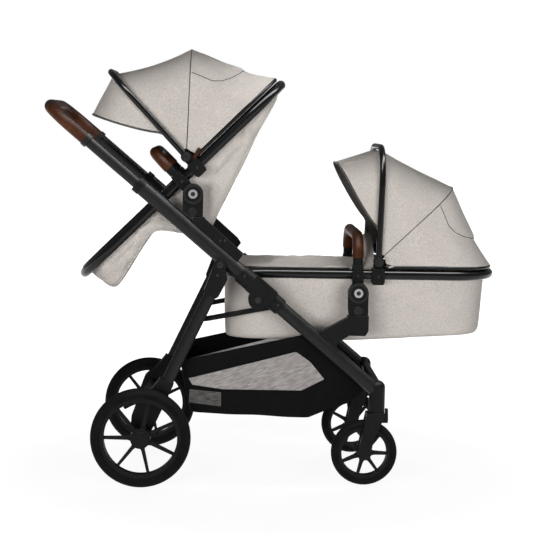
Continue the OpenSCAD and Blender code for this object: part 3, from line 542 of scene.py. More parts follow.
def puff(piece, voxel, pressure, reach, sewn):
    """Blows up a closed padded piece with a short cloth simulation. sewn(point) says where it is held."""
    make_active(piece)
    piece.data.remesh_voxel_size = voxel * MM
    bpy.ops.object.voxel_remesh()
    scene = bpy.context.scene
    before = [v.co.copy() for v in piece.data.vertices]
    held = piece.vertex_groups.new(name="sewn")
    held.add([i for i, p in enumerate(before) if sewn(p)], 1.0, "REPLACE")
    cloth = piece.modifiers.new("puff", "CLOTH")
    cloth.settings.use_pressure = True
    cloth.settings.uniform_pressure_force = pressure
    cloth.settings.vertex_group_mass = "sewn"
    cloth.settings.effector_weights.gravity = 0
    cloth.point_cache.frame_start = 1
    cloth.point_cache.frame_end = PUFF_FRAMES
    for number in range(1, PUFF_FRAMES + 1):
        scene.frame_set(number)
    shaped = piece.evaluated_get(bpy.context.evaluated_depsgraph_get())
    after = [v.co.copy() for v in shaped.data.vertices]
    piece.modifiers.clear()
    piece.vertex_groups.clear()
    for v, a, b in zip(piece.data.vertices, before, after):
        move = b - a
        v.co = a + move * min(1.0, reach * MM / max(move.length, 1e-9))
    piece.data.update()
    scene.frame_set(1)


def seam_cord(name, points, radius, material):
    """A round sewn cord through points."""
    curve = bpy.data.curves.new(name, "CURVE")
    curve.dimensions = "3D"
    curve.bevel_depth = radius * MM
    curve.bevel_resolution = 2
    curve.use_fill_caps = True
    spline = curve.splines.new("POLY")
    spline.points.add(len(points) - 1)
    for slot, p in zip(spline.points, points):
        slot.co = (*p, 1)
    curve.materials.append(material)
    piece = bpy.data.objects.new(name, curve)
    bpy.context.scene.collection.objects.link(piece)
    make_active(piece)
    bpy.ops.object.convert(target="MESH")
    smooth(piece)
    return piece


def curve_value(a, b, c, d, t):
    """A smooth curve from b to c at a share t, with a before and d after them."""
    square = (2 * a - 5 * b + 4 * c - d) * t * t
    cube = (3 * b - a - 3 * c + d) * t ** 3
    return 0.5 * (2 * b + (c - a) * t + square + cube)


# Steps between each two points of a smooth line, and round a panel's corner
LINE_STEPS = 12
ROUND_STEPS = 8


def rounded_line(points):
    """A smooth line through points."""
    fine = []
    last = len(points) - 1
    for k in range(last):
        p0, p1 = points[max(k - 1, 0)], points[k]
        p2, p3 = points[k + 1], points[min(k + 2, last)]
        for i in range(LINE_STEPS):
            fine.append(tuple(curve_value(*values, i / LINE_STEPS) for values in zip(p0, p1, p2, p3)))
    return fine + [tuple(points[last])]


def even_steps(points, count):
    """Points at even steps along a line of points."""
    steps = [0.0]
    for a, b in zip(points, points[1:]):
        steps.append(steps[-1] + math.dist(a, b))
    result = []
    at = 0
    for i in range(count):
        goal = steps[-1] * i / (count - 1)
        while at < len(points) - 2 and steps[at + 1] < goal:
            at += 1
        share = (goal - steps[at]) / max(steps[at + 1] - steps[at], 1e-9)
        result.append(tuple(a + (b - a) * share for a, b in zip(points[at], points[at + 1])))
    return result


def loop_points(x0, x1, w, c0, c1, per_side=16):
    """Points round a panel with round corners: c0 at the low X end, c1 at the high X end."""
    corners = [
        (x1 - c1, w - c1, c1, 0), (x0 + c0, w - c0, c0, 90),
        (x0 + c0, c0 - w, c0, 180), (x1 - c1, c1 - w, c1, 270)]
    loop = []
    for k, (x, y, r, start) in enumerate(corners):
        for i in range(ROUND_STEPS + 1):
            turn = math.radians(start + 90 * i / ROUND_STEPS)
            loop.append((x + r * math.cos(turn), y + r * math.sin(turn)))
        next_x, next_y, next_r, next_start = corners[(k + 1) % 4]
        turn = math.radians(next_start)
        goal = (next_x + next_r * math.cos(turn), next_y + next_r * math.sin(turn))
        begin = loop[-1]
        for i in range(1, per_side):
            loop.append(tuple(a + (b - a) * i / per_side for a, b in zip(begin, goal)))
    return loop + loop[:1]


# Canopies


def half_bow(half, top, bend):
    """Half of a bow as (across, from the pivot), from its foot to the middle."""
    straight = top - bend - CANOPY_FOOT
    side = [(half, CANOPY_FOOT + straight * i / SIDE_STEPS) for i in range(SIDE_STEPS)]
    corner = []
    for i in range(CORNER_STEPS + 1):
        turn = math.radians(90 * i / CORNER_STEPS)
        corner.append((half - bend + bend * math.cos(turn), top - bend + bend * math.sin(turn)))
    flat = [((half - bend) * (1 - i / TOP_STEPS), top) for i in range(1, TOP_STEPS + 1)]
    return side + corner + flat


def whole_bow(half, top, bend):
    one = half_bow(half, top, bend)
    return one + [(-y, r) for y, r in reversed(one[:-1])]


def bow_row(angle, top, out=0.0):
    turn = math.radians(angle)
    return [
        Vector((PIVOT[0] + r * math.cos(turn), y, PIVOT[1] + r * math.sin(turn)))
        for y, r in whole_bow(CANOPY_HALF + out, top + out, CANOPY_BEND + out)]


def rail_row():
    """The hood's lower edge, level along the top of its rail."""
    level = RAIL_N + RAIL_R - HOOD_LAP
    row = []
    for y, r in whole_bow(CANOPY_HALF, REAR_TOP, CANOPY_BEND):
        lift = max(0.0, (HOOD_RUN - r) / HOOD_RUN) * (PIVOT[1] - level)
        row.append(Vector((PIVOT[0] + r, y, level + lift)))
    return row


def between(row_a, row_b, share, sag):
    """A row part of the way between two bows, drawn in towards the pivot by the cloth's sag."""
    keep = 1 - 4 * sag * share * (1 - share)
    result = []
    for a, b in zip(row_a, row_b):
        p = a.lerp(b, share)
        away = Vector((p.x - PIVOT[0], 0, p.z - PIVOT[1])) * keep
        result.append(Vector((PIVOT[0] + away.x, p.y, PIVOT[1] + away.z)))
    return result


def visor_row(share, out=0.0):
    """A row of the visor in front of the front bow: deep over the top, drawn in down the sides."""
    drop = math.radians(VISOR_DROP)
    rows = []
    bow = whole_bow(CANOPY_HALF + out, FRONT_TOP + out, CANOPY_BEND + out)
    for (y, r), p in zip(bow, bow_row(FRONT_ANGLE, FRONT_TOP, out)):
        rise = max(0.0, (r - VISOR_SIDE) / (FRONT_TOP - VISOR_SIDE))
        reach = share * (VISOR_FOOT + (VISOR_DEPTH - VISOR_FOOT) * min(1.0, rise) ** VISOR_CURVE)
        rows.append(Vector((p.x - reach * math.cos(drop), y, p.z - reach * math.sin(drop))))
    return rows


def in_unit(unit, row):
    return [unit_point(unit, p.x, p.y, p.z) for p in row]


# The vent flap's hem on the rear cloth, as (share from the middle bow to the rail, place along the bow)
VENT_HEM = [(0.02, 11.8), (0.26, 11.8), (0.42, 12.4), (0.52, 13.7), (0.59, 15.5), (0.64, 19), (0.66, 28)]
VENT_ROLL = 6.0
# How the roll rises: points in from its hem, share of the way from the middle bow, share before its end
VENT_EDGE = 0.9
VENT_RISE = 0.3
VENT_FALL = 0.05
HEM_POINTS = 40


def vent_roll(row, share):
    """Raises the rolled vent flap between the middle bow and its hem."""
    last = len(row) - 1
    edge = table_value(VENT_HEM, share)
    raised = []
    for i, p in enumerate(row):
        inside = max(0.0, min(i, last - i) - edge)
        rise = math.sin(math.pi / 2 * min(1.0, share / VENT_RISE))
        lift = VENT_ROLL * min(1.0, inside / VENT_EDGE) * rise
        fall = min(1.0, max(0.0, (VENT_HEM[-1][0] - share) / VENT_FALL))
        away = Vector((p.x - PIVOT[0], 0, p.z - PIVOT[1])).normalized()
        raised.append(p + away * (lift * fall))
    return raised


def vent_hem(rear_cloth, across):
    """A line on the rear cloth from the seam on one side, over the top, to the other side."""
    last = across - 1
    half = even_steps(rounded_line(VENT_HEM), HEM_POINTS)
    whole = half + [(share, last - place) for share, place in reversed(half[:-1])]
    return [on_sheet(rear_cloth, across, share * REAR_STEPS, place, HEM_OUT) for share, place in whole]


def canopy(unit):
    """Front cloth with its visor, rear cloth, seam cords and vent hem."""
    name = unit["name"]
    front_row = bow_row(FRONT_ANGLE, FRONT_TOP)
    mid_row = bow_row(MID_ANGLE, MID_TOP)
    end_row = rail_row()
    middle = unit_point(unit, PIVOT[0], 0, PIVOT[1])
    front = [in_unit(unit, visor_row(1 - k / VISOR_STEPS)) for k in range(VISOR_STEPS)]
    for k in range(FRONT_STEPS + 1):
        front.append(in_unit(unit, between(front_row, mid_row, k / FRONT_STEPS, unit["front_sag"])))
    rear = []
    for k in range(REAR_STEPS + 1):
        row = between(mid_row, end_row, k / REAR_STEPS, unit["rear_sag"])
        rear.append(in_unit(unit, vent_roll(row, k / REAR_STEPS)))

    front_cloth = cloth_grid(name + "_canopy_front_cloth", front, linen)
    rear_cloth = cloth_grid(name + "_canopy_rear_cloth", rear, linen)
    for piece, rows, seed in ((front_cloth, front, 3.0), (rear_cloth, rear, 8.0)):
        facing(piece, middle)
        crumple(piece, height=1.8, sizes=(70, 70, 70), seed=seed)
    hem_line = vent_hem(rear_cloth, len(mid_row))
    for piece in (front_cloth, rear_cloth):
        thicken(piece, HOOD_CLOTH, hood_lining)
        smooth(piece, CLOTH_SMOOTH)
    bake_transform(front_cloth)
    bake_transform(rear_cloth)
    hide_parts(name + "_front_panel")
    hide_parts(name + "_rear_panel")

    visor_line = in_unit(unit, visor_row(1.0, BINDING_OUT))
    binding = seam_cord(name + "_visor_binding", visor_line, BINDING_R, binding_cloth)
    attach(binding, unit["front"])
    seam_line = in_unit(unit, bow_row(MID_ANGLE, MID_TOP, SEAM_OUT))
    seam = seam_cord(name + "_canopy_seam", seam_line, SEAM_R, dark_thread)
    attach(seam, unit["mid"])
    hem = seam_cord(name + "_vent_hem", hem_line, HEM_R, dark_thread)
    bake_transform(hem)


def bent_rail(name, half, start, reach, bend, radius):
    """A round rail bent to a U in the level plane, open towards -X."""
    bpy.ops.object.select_all(action="DESELECT")
    bpy.ops.mesh.primitive_circle_add(vertices=16, radius=radius * MM, fill_type="NGON")
    rail = bpy.context.object
    rail.name = name
    straight = (reach - bend - start) * MM
    corner_x = (reach - bend) * MM
    corner_y = (half - bend) * MM
    bpy.ops.object.mode_set(mode="EDIT")
    bpy.ops.mesh.select_all(action="SELECT")
    bpy.ops.transform.rotate(value=math.pi / 2, orient_axis="Y", center_override=(0, 0, 0))
    bpy.ops.transform.translate(value=(start * MM, half * MM, 0))
    bpy.ops.mesh.extrude_region_move(TRANSFORM_OT_translate={"value": (straight, 0, 0)})
    bpy.ops.mesh.spin(steps=14, angle=math.pi / 2, center=(corner_x, corner_y, 0), axis=(0, 0, 1))
    bpy.ops.mesh.extrude_region_move(TRANSFORM_OT_translate={"value": (0, -2 * corner_y, 0)})
    bpy.ops.mesh.spin(steps=14, angle=math.pi / 2, center=(corner_x, -corner_y, 0), axis=(0, 0, 1))
    bpy.ops.mesh.extrude_region_move(TRANSFORM_OT_translate={"value": (-straight, 0, 0)})
    bpy.ops.object.mode_set(mode="OBJECT")
    round_edges(rail, 1.2)
    return rail


def rails():
    """The black rails on top of the rings: stout round the head ends, thin round the foot ends."""
    hood_half = CANOPY_HALF - RAIL_INSET
    hood_reach = REAR_TOP + PIVOT[0] - RAIL_INSET
    foot_reach = RING_L - RING_W + FOOT_RAIL_HALF
    seat_hood = bent_rail("seat_hood_rail", hood_half, RAIL_START, hood_reach, CANOPY_BEND, RAIL_R)
    cot_hood = copy_of(seat_hood, "cot_hood_rail")
    cot_foot = bent_rail(
        "cot_apron_rail", FOOT_RAIL_HALF, FOOT_RAIL_START, foot_reach, FOOT_RAIL_BEND, FOOT_RAIL_R)
    seat_foot = copy_of(cot_foot, "seat_foot_rail")
    head = Matrix.Translation((0, 0, RAIL_N * MM))
    foot = Matrix.Translation((0, 0, FOOT_RAIL_N * MM)) @ Matrix.Rotation(math.pi, 4, "Z")
    ends = ((seat_hood, SEAT, head), (cot_hood, COT, head), (cot_foot, COT, foot), (seat_foot, SEAT, foot))
    for rail, unit, place in ends:
        settle(rail, unit_matrix(unit) @ place, tube_black, unit["body"])


# Seat

# Cloth is held more and more within this distance of a ring
SEWN_BAND = 30.0
# Side view of the seat's underside from its head end to its foot end, as (along the ring, off the hub)
SEAT_FLOOR = [
    (389, 44), (374, 34), (341, 21), (266, -3), (174, -36), (100, -62), (26, -89), (-13, -104), (-60, -115),
    (-82, -105), (-102, -68), (-150, -13), (-170, -4), (-233, -16), (-345, -44), (-372, -34), (-389, 38)]
SEAT_STATIONS = 90
SEAT_PADDING = 11.0
# Cross-section: gap to the ring, height over the ring's middle, least depth, radius of the lower edge
SEAT_GAP = 1.0
SEAT_LIP = 2.0
SEAT_LEAST = 4.0
SEAT_EDGE_R = 26.0
# How far the side walls lean in, and how far they are drawn in, in full from this depth on
SEAT_TAPER = 5.0
SEAT_TUCK = 7.0
SEAT_TUCK_DEPTH = 90.0
# Steps down the side wall, round the lower edge and to the middle of the floor
WALL_STEPS = 12
EDGE_STEPS = 5
FLOOR_STEPS = 10
# Column of the seat's rows that lies on its lower edge, and the piping there, free of the end rows
SEAT_EDGE = WALL_STEPS + 3
PIPING_R = 1.7
PIPING_OUT = 0.4
PIPING_ENDS = 6


def ring_half_width(u, inset=0.0):
    """Half of the width inside the ring at a place along it."""
    corner = INNER_CORNER - inset
    past = abs(u) - (INNER_L - INNER_CORNER)
    full = INNER_W - inset
    if past <= 0:
        return full
    return full - corner + math.sqrt(max(corner * corner - past * past, 0.0))


def seat_section(u, floor):
    """The seat's cross-section: side wall, round lower edge, floor, and the same on the other side."""
    wall = ring_half_width(u, SEAT_GAP)
    top = RING_RISE + SEAT_LIP
    depth = max(top - floor, SEAT_LEAST)
    edge = min(SEAT_EDGE_R, depth / 2, wall / 2)
    half = []
    for i in range(WALL_STEPS + 1):
        share = i / WALL_STEPS
        tuck = SEAT_TUCK * math.sin(math.pi * share) * min(1.0, depth / SEAT_TUCK_DEPTH)
        half.append((wall - tuck - SEAT_TAPER * share, top - (depth - edge) * share))
    corner_y = wall - SEAT_TAPER - edge
    for i in range(1, EDGE_STEPS + 1):
        turn = math.radians(90 * i / EDGE_STEPS)
        half.append((corner_y + edge * math.cos(turn), floor + edge - edge * math.sin(turn)))
    for i in range(1, FLOOR_STEPS + 1):
        half.append((corner_y * (1 - i / FLOOR_STEPS), floor))
    return half + [(-y, n) for y, n in reversed(half[:-1])]


def seat_cloth():
    """Backrest, base and leg rest as one quilted shell hung from the ring."""
    stations = even_steps(rounded_line(SEAT_FLOOR), SEAT_STATIONS)
    rows = [[unit_point(SEAT, u, y, n) for y, n in seat_section(u, floor)] for u, floor in stations]
    piece = cloth_grid("seat_cloth", rows, linen)
    facing(piece, unit_point(SEAT, 0, 0, 40))
    ring_plane = unit_point(SEAT, 0, 0, RING_RISE)
    to_seat = unit_matrix(SEAT).inverted()
    off_ring = (unit_point(SEAT, 0, 0, 1) - unit_point(SEAT, 0, 0, 0)).normalized()

    def near_ring(p):
        return min(1.0, max(0.0, 1 + (p - ring_plane).dot(off_ring) / (SEWN_BAND * MM)))

    def off_middle(p):
        """Holds the cloth along the ring and along the seat's lower edge."""
        place = to_seat @ p / MM
        floor = table_value(SEAT_FLOOR[::-1], place.x)
        share = (place.z - floor) / max(RING_RISE - floor, 1.0)
        return 1 - math.sin(math.pi * min(1.0, max(0.0, share)))

    lean = SEAT["angle"]
    crumple(piece, height=2.6, sizes=(150, 95, 95), seed=2.0, hold=near_ring, turn=lean)
    crumple(piece, height=1.2, sizes=(60, 40, 40), seed=6.0, hold=near_ring, turn=lean)
    crumple(piece, height=9.0, sizes=(140, 70, 60), seed=9.0, hold=off_middle, turn=lean + 25, sharp=True)
    crumple(piece, height=6.0, sizes=(70, 60, 45), seed=4.0, hold=off_middle, turn=lean - 30, sharp=True)
    across = len(rows[0])
    for word, place in (("right", across - 1 - SEAT_EDGE), ("left", SEAT_EDGE)):
        along = range(PIPING_ENDS, len(rows) - PIPING_ENDS)
        edge = [on_sheet(piece, across, j, place, PIPING_OUT) for j in along]
        piping = seam_cord(f"seat_piping_{word}", edge, PIPING_R, linen)
        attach(piping, "seat")
    thicken(piece, SEAT_PADDING)
    smooth(piece, CLOTH_SMOOTH)
    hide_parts("seat_bucket")
    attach(piece, "seat")


# Carrycot

# The cot's wall from the ring down to the floor, as (height off the hub, inset from the ring)
COT_LEVELS = [
    (46.0, 0.6), (36.0, -0.6), (10.0, 1.0), (-30.0, 3.5), (-70.0, 6.5), (-105.0, 10.0), (-132.0, 13.0),
    (-142.0, 16.0), (-147.5, 21.0), (-150.0, 30.0)]
COT_PADDING = 6.0
# Height off the hub from which the cot's cloth is held in full
COT_HELD = 40.0
# The foot end stands nearly upright
FOOT_INSET = 0.35
COT_DEPTH = RING_RISE - COT_LEVELS[-1][0]
# How much the underside comes up towards the head end
COT_LIFT = 22.0


def cot_level(n, inset, share=1.0):
    """A loop round the cot at a height, inside the ring by an inset, drawn in for a floor or a top."""
    corner = INNER_CORNER - inset
    loop = []
    foot = FOOT_INSET * inset - INNER_L
    for x, y in loop_points(foot, INNER_L - inset, INNER_W - inset, corner, corner):
        u = x * share
        rise = COT_LIFT * max(0.0, u / INNER_L) * (RING_RISE - n) / COT_DEPTH
        loop.append(unit_point(COT, u, y * share, n + rise))
    return loop


def cot_cloth():
    rows = [cot_level(n, inset) for n, inset in COT_LEVELS]
    rows += [cot_level(*COT_LEVELS[-1], share) for share in (0.6, 0.3, 0.02)]
    piece = cloth_grid("cot_cloth", rows, linen)
    outward(piece)
    facing(piece, unit_point(COT, 0, 0, -20))
    top = unit_point(COT, 0, 0, COT_HELD).z

    def near_ring(p):
        return min(1.0, max(0.0, 1 - (top - p.z) / (SEWN_BAND * MM)))

    crumple(piece, height=3.0, sizes=(160, 160, 110), seed=11.0, hold=near_ring)
    crumple(piece, height=1.0, sizes=(50, 50, 40), seed=4.0, hold=near_ring)
    thicken(piece, COT_PADDING)
    smooth(piece, CLOTH_SMOOTH)
    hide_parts("cot_body")
    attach(piece, "cot")


# The apron's height at its edge and over its shoulder, its crown, and the wind flap at its front
APRON_EDGE = RING_RISE + 12.0
APRON_TOP = RING_RISE + 20.0
APRON_CROWN = 11.0
APRON_CROWN_RUN = 120.0
APRON_SHOULDER = 18.0
FLAP_BACK = 14.0
FLAP_RUN = 22.0
FLAP_RISE = 74.0
APRON_LAP = 1.0
APRON_PADDING = 7.0
# The apron's places along the cot: steps from the foot end, even steps, and close steps up the flap
FOOT_STEPS = (0, 2, 5, 9, 14, 20, 28, 38, 50, 64, 80, 98)
FLAT_START = -280
FLAT_STEP = 12
FLAP_STEP = 4
HALF_COLUMNS = 22


def apron_height(u, y, half):
    """Height of the apron: steep at its edge, crowned over the legs, up to the wind flap in front."""
    inside = min(half - abs(y), u + INNER_L)
    edge = 1 - (1 - min(inside, APRON_SHOULDER) / APRON_SHOULDER) ** 3
    flap = math.sin(math.pi / 2 * min(1.0, max(0.0, u - FLAP_BACK) / FLAP_RUN))
    side = math.sqrt(max(0.0, math.cos(math.pi / 2 * min(1.0, abs(y) / half))))
    crown = side * side * math.sin(math.pi / 2 * min(1.0, (u + INNER_L) / APRON_CROWN_RUN))
    return APRON_EDGE + (APRON_TOP - APRON_EDGE) * edge + APRON_CROWN * crown + FLAP_RISE * flap * side


def apron_stations():
    """Places along the cot: close together at the foot end and at the wind flap."""
    foot = [1 - INNER_L + d for d in FOOT_STEPS]
    flat = [FLAT_START + FLAT_STEP * i for i in range(24)]
    flap = [FLAP_BACK + FLAP_STEP * i for i in range(10)]
    return foot + flat + flap


def cot_apron():
    """A quilted cover over the legs, sewn along the ring."""
    across = [math.sin(math.pi / 2 * (k / HALF_COLUMNS - 1)) for k in range(2 * HALF_COLUMNS + 1)]
    rows = []
    for u in apron_stations():
        half = ring_half_width(u, -APRON_LAP)
        rows.append([unit_point(COT, u, half * t, apron_height(u, half * t, half)) for t in across])
    piece = cloth_grid("cot_apron_cloth", rows, linen)
    facing(piece, unit_point(COT, -150, 0, -100))
    crumple(piece, height=3.0, sizes=(120, 120, 120), seed=5.0)
    crumple(piece, height=2.0, sizes=(60, 40, 40), seed=9.0)
    crumple(piece, height=2.5, sizes=(90, 55, 60), seed=3.0, sharp=True)
    thicken(piece, APRON_PADDING)
    smooth(piece, CLOTH_SMOOTH)
    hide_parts("cot_apron")
    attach(piece, "cot")


MATTRESS_LOW = RING_RISE - 190
# The mattress from its underside up, as (height, inset from the ring), and the loops of its flat faces
MATTRESS_LEVELS = ((0, 46), (4, 40), (14, 38), (25, 40), (30, 47))
CAP_SHARES = (0.7, 0.35, 0.02)


def cot_mattress():
    """A crowned foam pad in its cover."""
    levels = [(MATTRESS_LOW + rise, inset) for rise, inset in MATTRESS_LEVELS]
    rows = [cot_level(n, inset) for n, inset in levels]
    low_cap = [cot_level(*levels[0], share) for share in CAP_SHARES[::-1]]
    high_cap = [cot_level(*levels[-1], share) for share in CAP_SHARES]
    piece = cloth_grid("cot_mattress_pad", low_cap + rows + high_cap, lining)
    outward(piece)
    low = unit_point(COT, 0, 0, MATTRESS_LOW + 2).z
    puff(piece, voxel=6.0, pressure=4.0, reach=6.0, sewn=lambda p: p.z < low)
    smooth(piece, CLOTH_SMOOTH)
    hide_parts("cot_mattress")
    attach(piece, "cot")


# Basket

BASKET_REAR = -265.7
BASKET_PEAK = 116.8
BASKET_BEND = 115.0
BASKET_NOSE = 300.5
BASKET_HALF = 200.0
BASKET_FLOOR = 201.0
BASKET_SAG = 13.0
# Height of the basket's rim at its rear end
BASKET_RIM = 357.0
RIM_SLOPE = 0.2285
LEG_SLOPE = 0.845
NOSE_SLOPE = 0.42
NOSE_CORNER = 75.0
REAR_CORNER = 30.0
# How far the walls lean in from the rim to the floor, how far they bulge, and how far the floor hangs
REAR_LEAN = 30.0
NOSE_LEAN = 8.0
SIDE_LEAN = 26.0
BASKET_BULGE = 2.5
FLOOR_DIP = 9.0
BASKET_CLOTH = 2.5
BASKET_MIDDLE = Vector((0, 0, 0.3))
# Patches sewn on the basket: their cloth, and how far out from the wall they lie on its two sides
PATCH_CLOTH = 1.0
PATCH_OUT = 3.2
PATCH_IN = -4.2
PATCH_COLUMNS = 60
# Side view of the grey net window and of the label patch: upper and lower edges, as (X, Z)
WINDOW_TOP = [(-239, 305), (75, 388), (117, 358), (158, 309)]
WINDOW_BOTTOM = [(-228, 286), (-138, 273), (93, 272), (158, 306)]
LABEL_TOP = [(-236, 272), (-143, 263)]
LABEL_BOTTOM = [(-238, 231), (-143, 220)]


def rim_height(x):
    rear = BASKET_RIM + RIM_SLOPE * (x - BASKET_REAR)
    nose = BASKET_RIM + RIM_SLOPE * (BASKET_PEAK - BASKET_REAR) - LEG_SLOPE * (x - BASKET_PEAK)
    return min(rear, nose)


def low_height(x):
    """The floor: a little lower towards the bend, then up to the cross tube."""
    sag = BASKET_SAG * min(1.0, (x - BASKET_REAR) / (BASKET_BEND - BASKET_REAR))
    return BASKET_FLOOR - sag + NOSE_SLOPE * max(0.0, x - BASKET_BEND)


def basket_size(share):
    """Rear end, front end and half width at a share of the height, from the floor to the rim."""
    bulge = BASKET_BULGE * math.sin(math.pi * share)
    rear = BASKET_REAR + REAR_LEAN * (1 - share) - bulge
    front = BASKET_NOSE - NOSE_LEAN * (1 - share) + bulge
    return rear, front, BASKET_HALF - SIDE_LEAN * (1 - share) + bulge


def basket_row(share):
    rear, front, half = basket_size(share)
    row = []
    for x, y in loop_points(rear, front, half, REAR_CORNER, NOSE_CORNER, per_side=26):
        row.append(Vector((x, y, low_height(x) + share * (rim_height(x) - low_height(x)))) * MM)
    return row


def basket_floor_row(share, drop):
    """A row of the basket's floor, drawn in towards its middle."""
    middle = (BASKET_REAR + BASKET_NOSE) / 2
    row = []
    for p in basket_row(0.0):
        x = middle + (p.x / MM - middle) * share
        row.append(Vector((x * MM, p.y * share, (low_height(x) - drop) * MM)))
    return row


def on_basket_side(x, z, out):
    """A point on the basket's right wall, a little off its cloth."""
    share = (z - low_height(x)) / (rim_height(x) - low_height(x))
    _, front, half = basket_size(min(1.0, max(0.0, share)))
    past = max(0.0, x - front + NOSE_CORNER)
    half += math.sqrt(max(NOSE_CORNER ** 2 - past * past, 0.0)) - NOSE_CORNER
    return Vector((x, -half - out, z)) * MM


def basket_patch(name, top, bottom, steps, out, material):
    """A patch sewn on both side walls of the basket, between an upper and a lower edge."""
    upper = even_steps(top, PATCH_COLUMNS)
    lower = even_steps(bottom, PATCH_COLUMNS)
    rows = []
    for k in range(steps + 1):
        share = k / steps
        rows.append([
            on_basket_side(a[0] + (b[0] - a[0]) * share, a[1] + (b[1] - a[1]) * share, out)
            for a, b in zip(upper, lower)])
    mirrored = [[Vector((p.x, -p.y, p.z)) for p in row] for row in rows]
    for word, side_rows in (("right", rows), ("left", mirrored)):
        patch = cloth_grid(f"{name}_{word}", side_rows, material)
        facing(patch, BASKET_MIDDLE)
        thicken(patch, PATCH_CLOTH)
        smooth(patch, CLOTH_SMOOTH)
        fold_along(patch)


def fold_along(piece):
    """Bakes a piece of the basket's place into its mesh."""
    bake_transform(piece)


def basket():
    shares = [1.0, 0.97, 0.9, 0.82, 0.74, 0.66, 0.58, 0.5, 0.42, 0.34, 0.26, 0.18, 0.1, 0.04, 0.0]
    rows = [basket_row(share) for share in shares]
    floor_shares = (0.95, 0.85, 0.6, 0.3, 0.03)
    rows += [basket_floor_row(share, FLOOR_DIP * (1 - share * share)) for share in floor_shares]
    piece = cloth_grid("basket_cloth", rows, black_cloth)
    outward(piece)
    facing(piece, BASKET_MIDDLE)
    crumple(piece, height=2.0, sizes=(80, 80, 80), seed=7.0)
    thicken(piece, BASKET_CLOTH)
    smooth(piece, CLOTH_SMOOTH)
    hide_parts("basket")
    fold_along(piece)
    basket_patch("basket_net", WINDOW_TOP, WINDOW_BOTTOM, 10, PATCH_OUT, net)
    # The inside patch takes the lighter net, painted bright to stand in for light where it lies in shade
    basket_patch("basket_net_inside", WINDOW_TOP, WINDOW_BOTTOM, 10, PATCH_IN, net_painted_bright)
    basket_patch("basket_label", LABEL_TOP, LABEL_BOTTOM, 6, PATCH_OUT, label_cloth)


# Small fittings

HEAD_HEIGHT = 2.4
HEAD_RISE = 0.5
DRIVE_DEPTH = 1.2
# Screws in the fold joints, the leg heads and the seat's adapters, as (X, Y, Z, body)
FRAME_SCREWS = [
    (16.9, 246.4, 530.7, "front_frame"), (-80.7, 248.9, 614.0, "push_frame"),
    (-158.7, 251.0, 614.6, "rear_frame"), (-153.1, 236.6, 713.5, "push_frame"),
    (-138.7, 236.6, 713.7, "push_frame")]
# Screws in the ring arms and clamps of each unit, as (along the ring, off the hub)
UNIT_SCREWS = ((0, 47), (PIVOT[0], 46))
LEG_PIVOT = (-152.0, 250.8, 645.0)
# How far the fittings stand off the faces they sit on: the middle of a head, the underside of a ring
SCREW_PROUD = 0.6
BOLT_PROUD = 0.4
RING_PROUD = 0.05
CAP_PROUD = 1.3


def on_both_sides(first, name, place, material, body):
    """Copies a fitting to the right and the left of the pram. The name has a gap for the side."""
    x, y, z = place
    for side, word in SIDES:
        settle(copy_of(first, name.format(word)), facing_side(x, side * y, z), material, body)


def screw_head(name, radius):
    """A round screw head with a sunk drive, about Z."""
    bpy.ops.object.select_all(action="DESELECT")
    bpy.ops.mesh.primitive_cylinder_add(vertices=24, radius=radius * MM, depth=HEAD_HEIGHT * MM)
    head = bpy.context.object
    head.name = name
    pick_faces(head, lambda face: face.normal.z > 0.9)
    bpy.ops.mesh.inset(thickness=0.18 * radius * MM, depth=HEAD_RISE * MM)
    bpy.ops.mesh.inset(thickness=0.3 * radius * MM)
    bpy.ops.mesh.inset(thickness=0.02 * MM, depth=-DRIVE_DEPTH * MM)
    bpy.ops.object.mode_set(mode="OBJECT")
    round_edges(head, 0.25)
    return head


def screws():
    """Screws in the fold joints, leg heads, adapters, clamps and ring arms, alike on both sides."""
    first = screw_head("screw", radius=4.0)
    places = list(FRAME_SCREWS)
    for unit in (SEAT, COT):
        for u, n in UNIT_SCREWS:
            p = unit_point(unit, u, 0, n) / MM
            places.append((p.x, ARM_FACE + SCREW_PROUD, p.z, unit["body"]))
    for k, (x, y, z, body) in enumerate(places):
        on_both_sides(first, f"screw_{{}}_{k + 1}", (x, y, z), dark_steel, body)
    bpy.data.objects.remove(first)


def collar_ring(name, inner, outer, height):
    """A flat ring about Z, turned from a square section."""
    bpy.ops.object.select_all(action="DESELECT")
    bpy.ops.mesh.primitive_plane_add(size=1)
    ring = bpy.context.object
    ring.name = name
    bpy.ops.object.mode_set(mode="EDIT")
    bpy.ops.mesh.select_all(action="SELECT")
    bpy.ops.mesh.delete(type="ONLY_FACE")
    bpy.ops.mesh.select_all(action="SELECT")
    bpy.ops.transform.rotate(value=math.pi / 2, orient_axis="X", center_override=(0, 0, 0))
    bpy.ops.transform.resize(value=((outer - inner) * MM, 1, height * MM), center_override=(0, 0, 0))
    bpy.ops.transform.translate(value=((outer + inner) / 2 * MM, 0, height / 2 * MM))
    bpy.ops.mesh.spin(steps=48, angle=2 * math.pi, center=(0, 0, 0), axis=(0, 0, 1))
    bpy.ops.mesh.select_all(action="SELECT")
    bpy.ops.mesh.remove_doubles(threshold=0.00001)
    bpy.ops.object.mode_set(mode="OBJECT")
    round_edges(ring, 0.6)
    return ring


def hub_bolts():
    """The bolt in the eye of each hub cap."""
    first = screw_head("hub_bolt", radius=5.6)
    for unit in (SEAT, COT):
        x, z = unit["hub"]
        place = (x, HUB_FACE + BOLT_PROUD, z)
        on_both_sides(first, unit["name"] + "_hub_bolt_{}", place, dark_steel, unit["foot_body"])
    bpy.data.objects.remove(first)


def hub_rings():
    """A raised edge round each hub disc."""
    first = collar_ring("hub_ring", inner=23.0, outer=28.5, height=1.6)
    for unit in (SEAT, COT):
        x, z = unit["hub"]
        place = (x, HUB_FACE + RING_PROUD, z)
        on_both_sides(first, unit["name"] + "_hub_ring_{}", place, nylon_painted_light, unit["foot_body"])
    bpy.data.objects.remove(first)


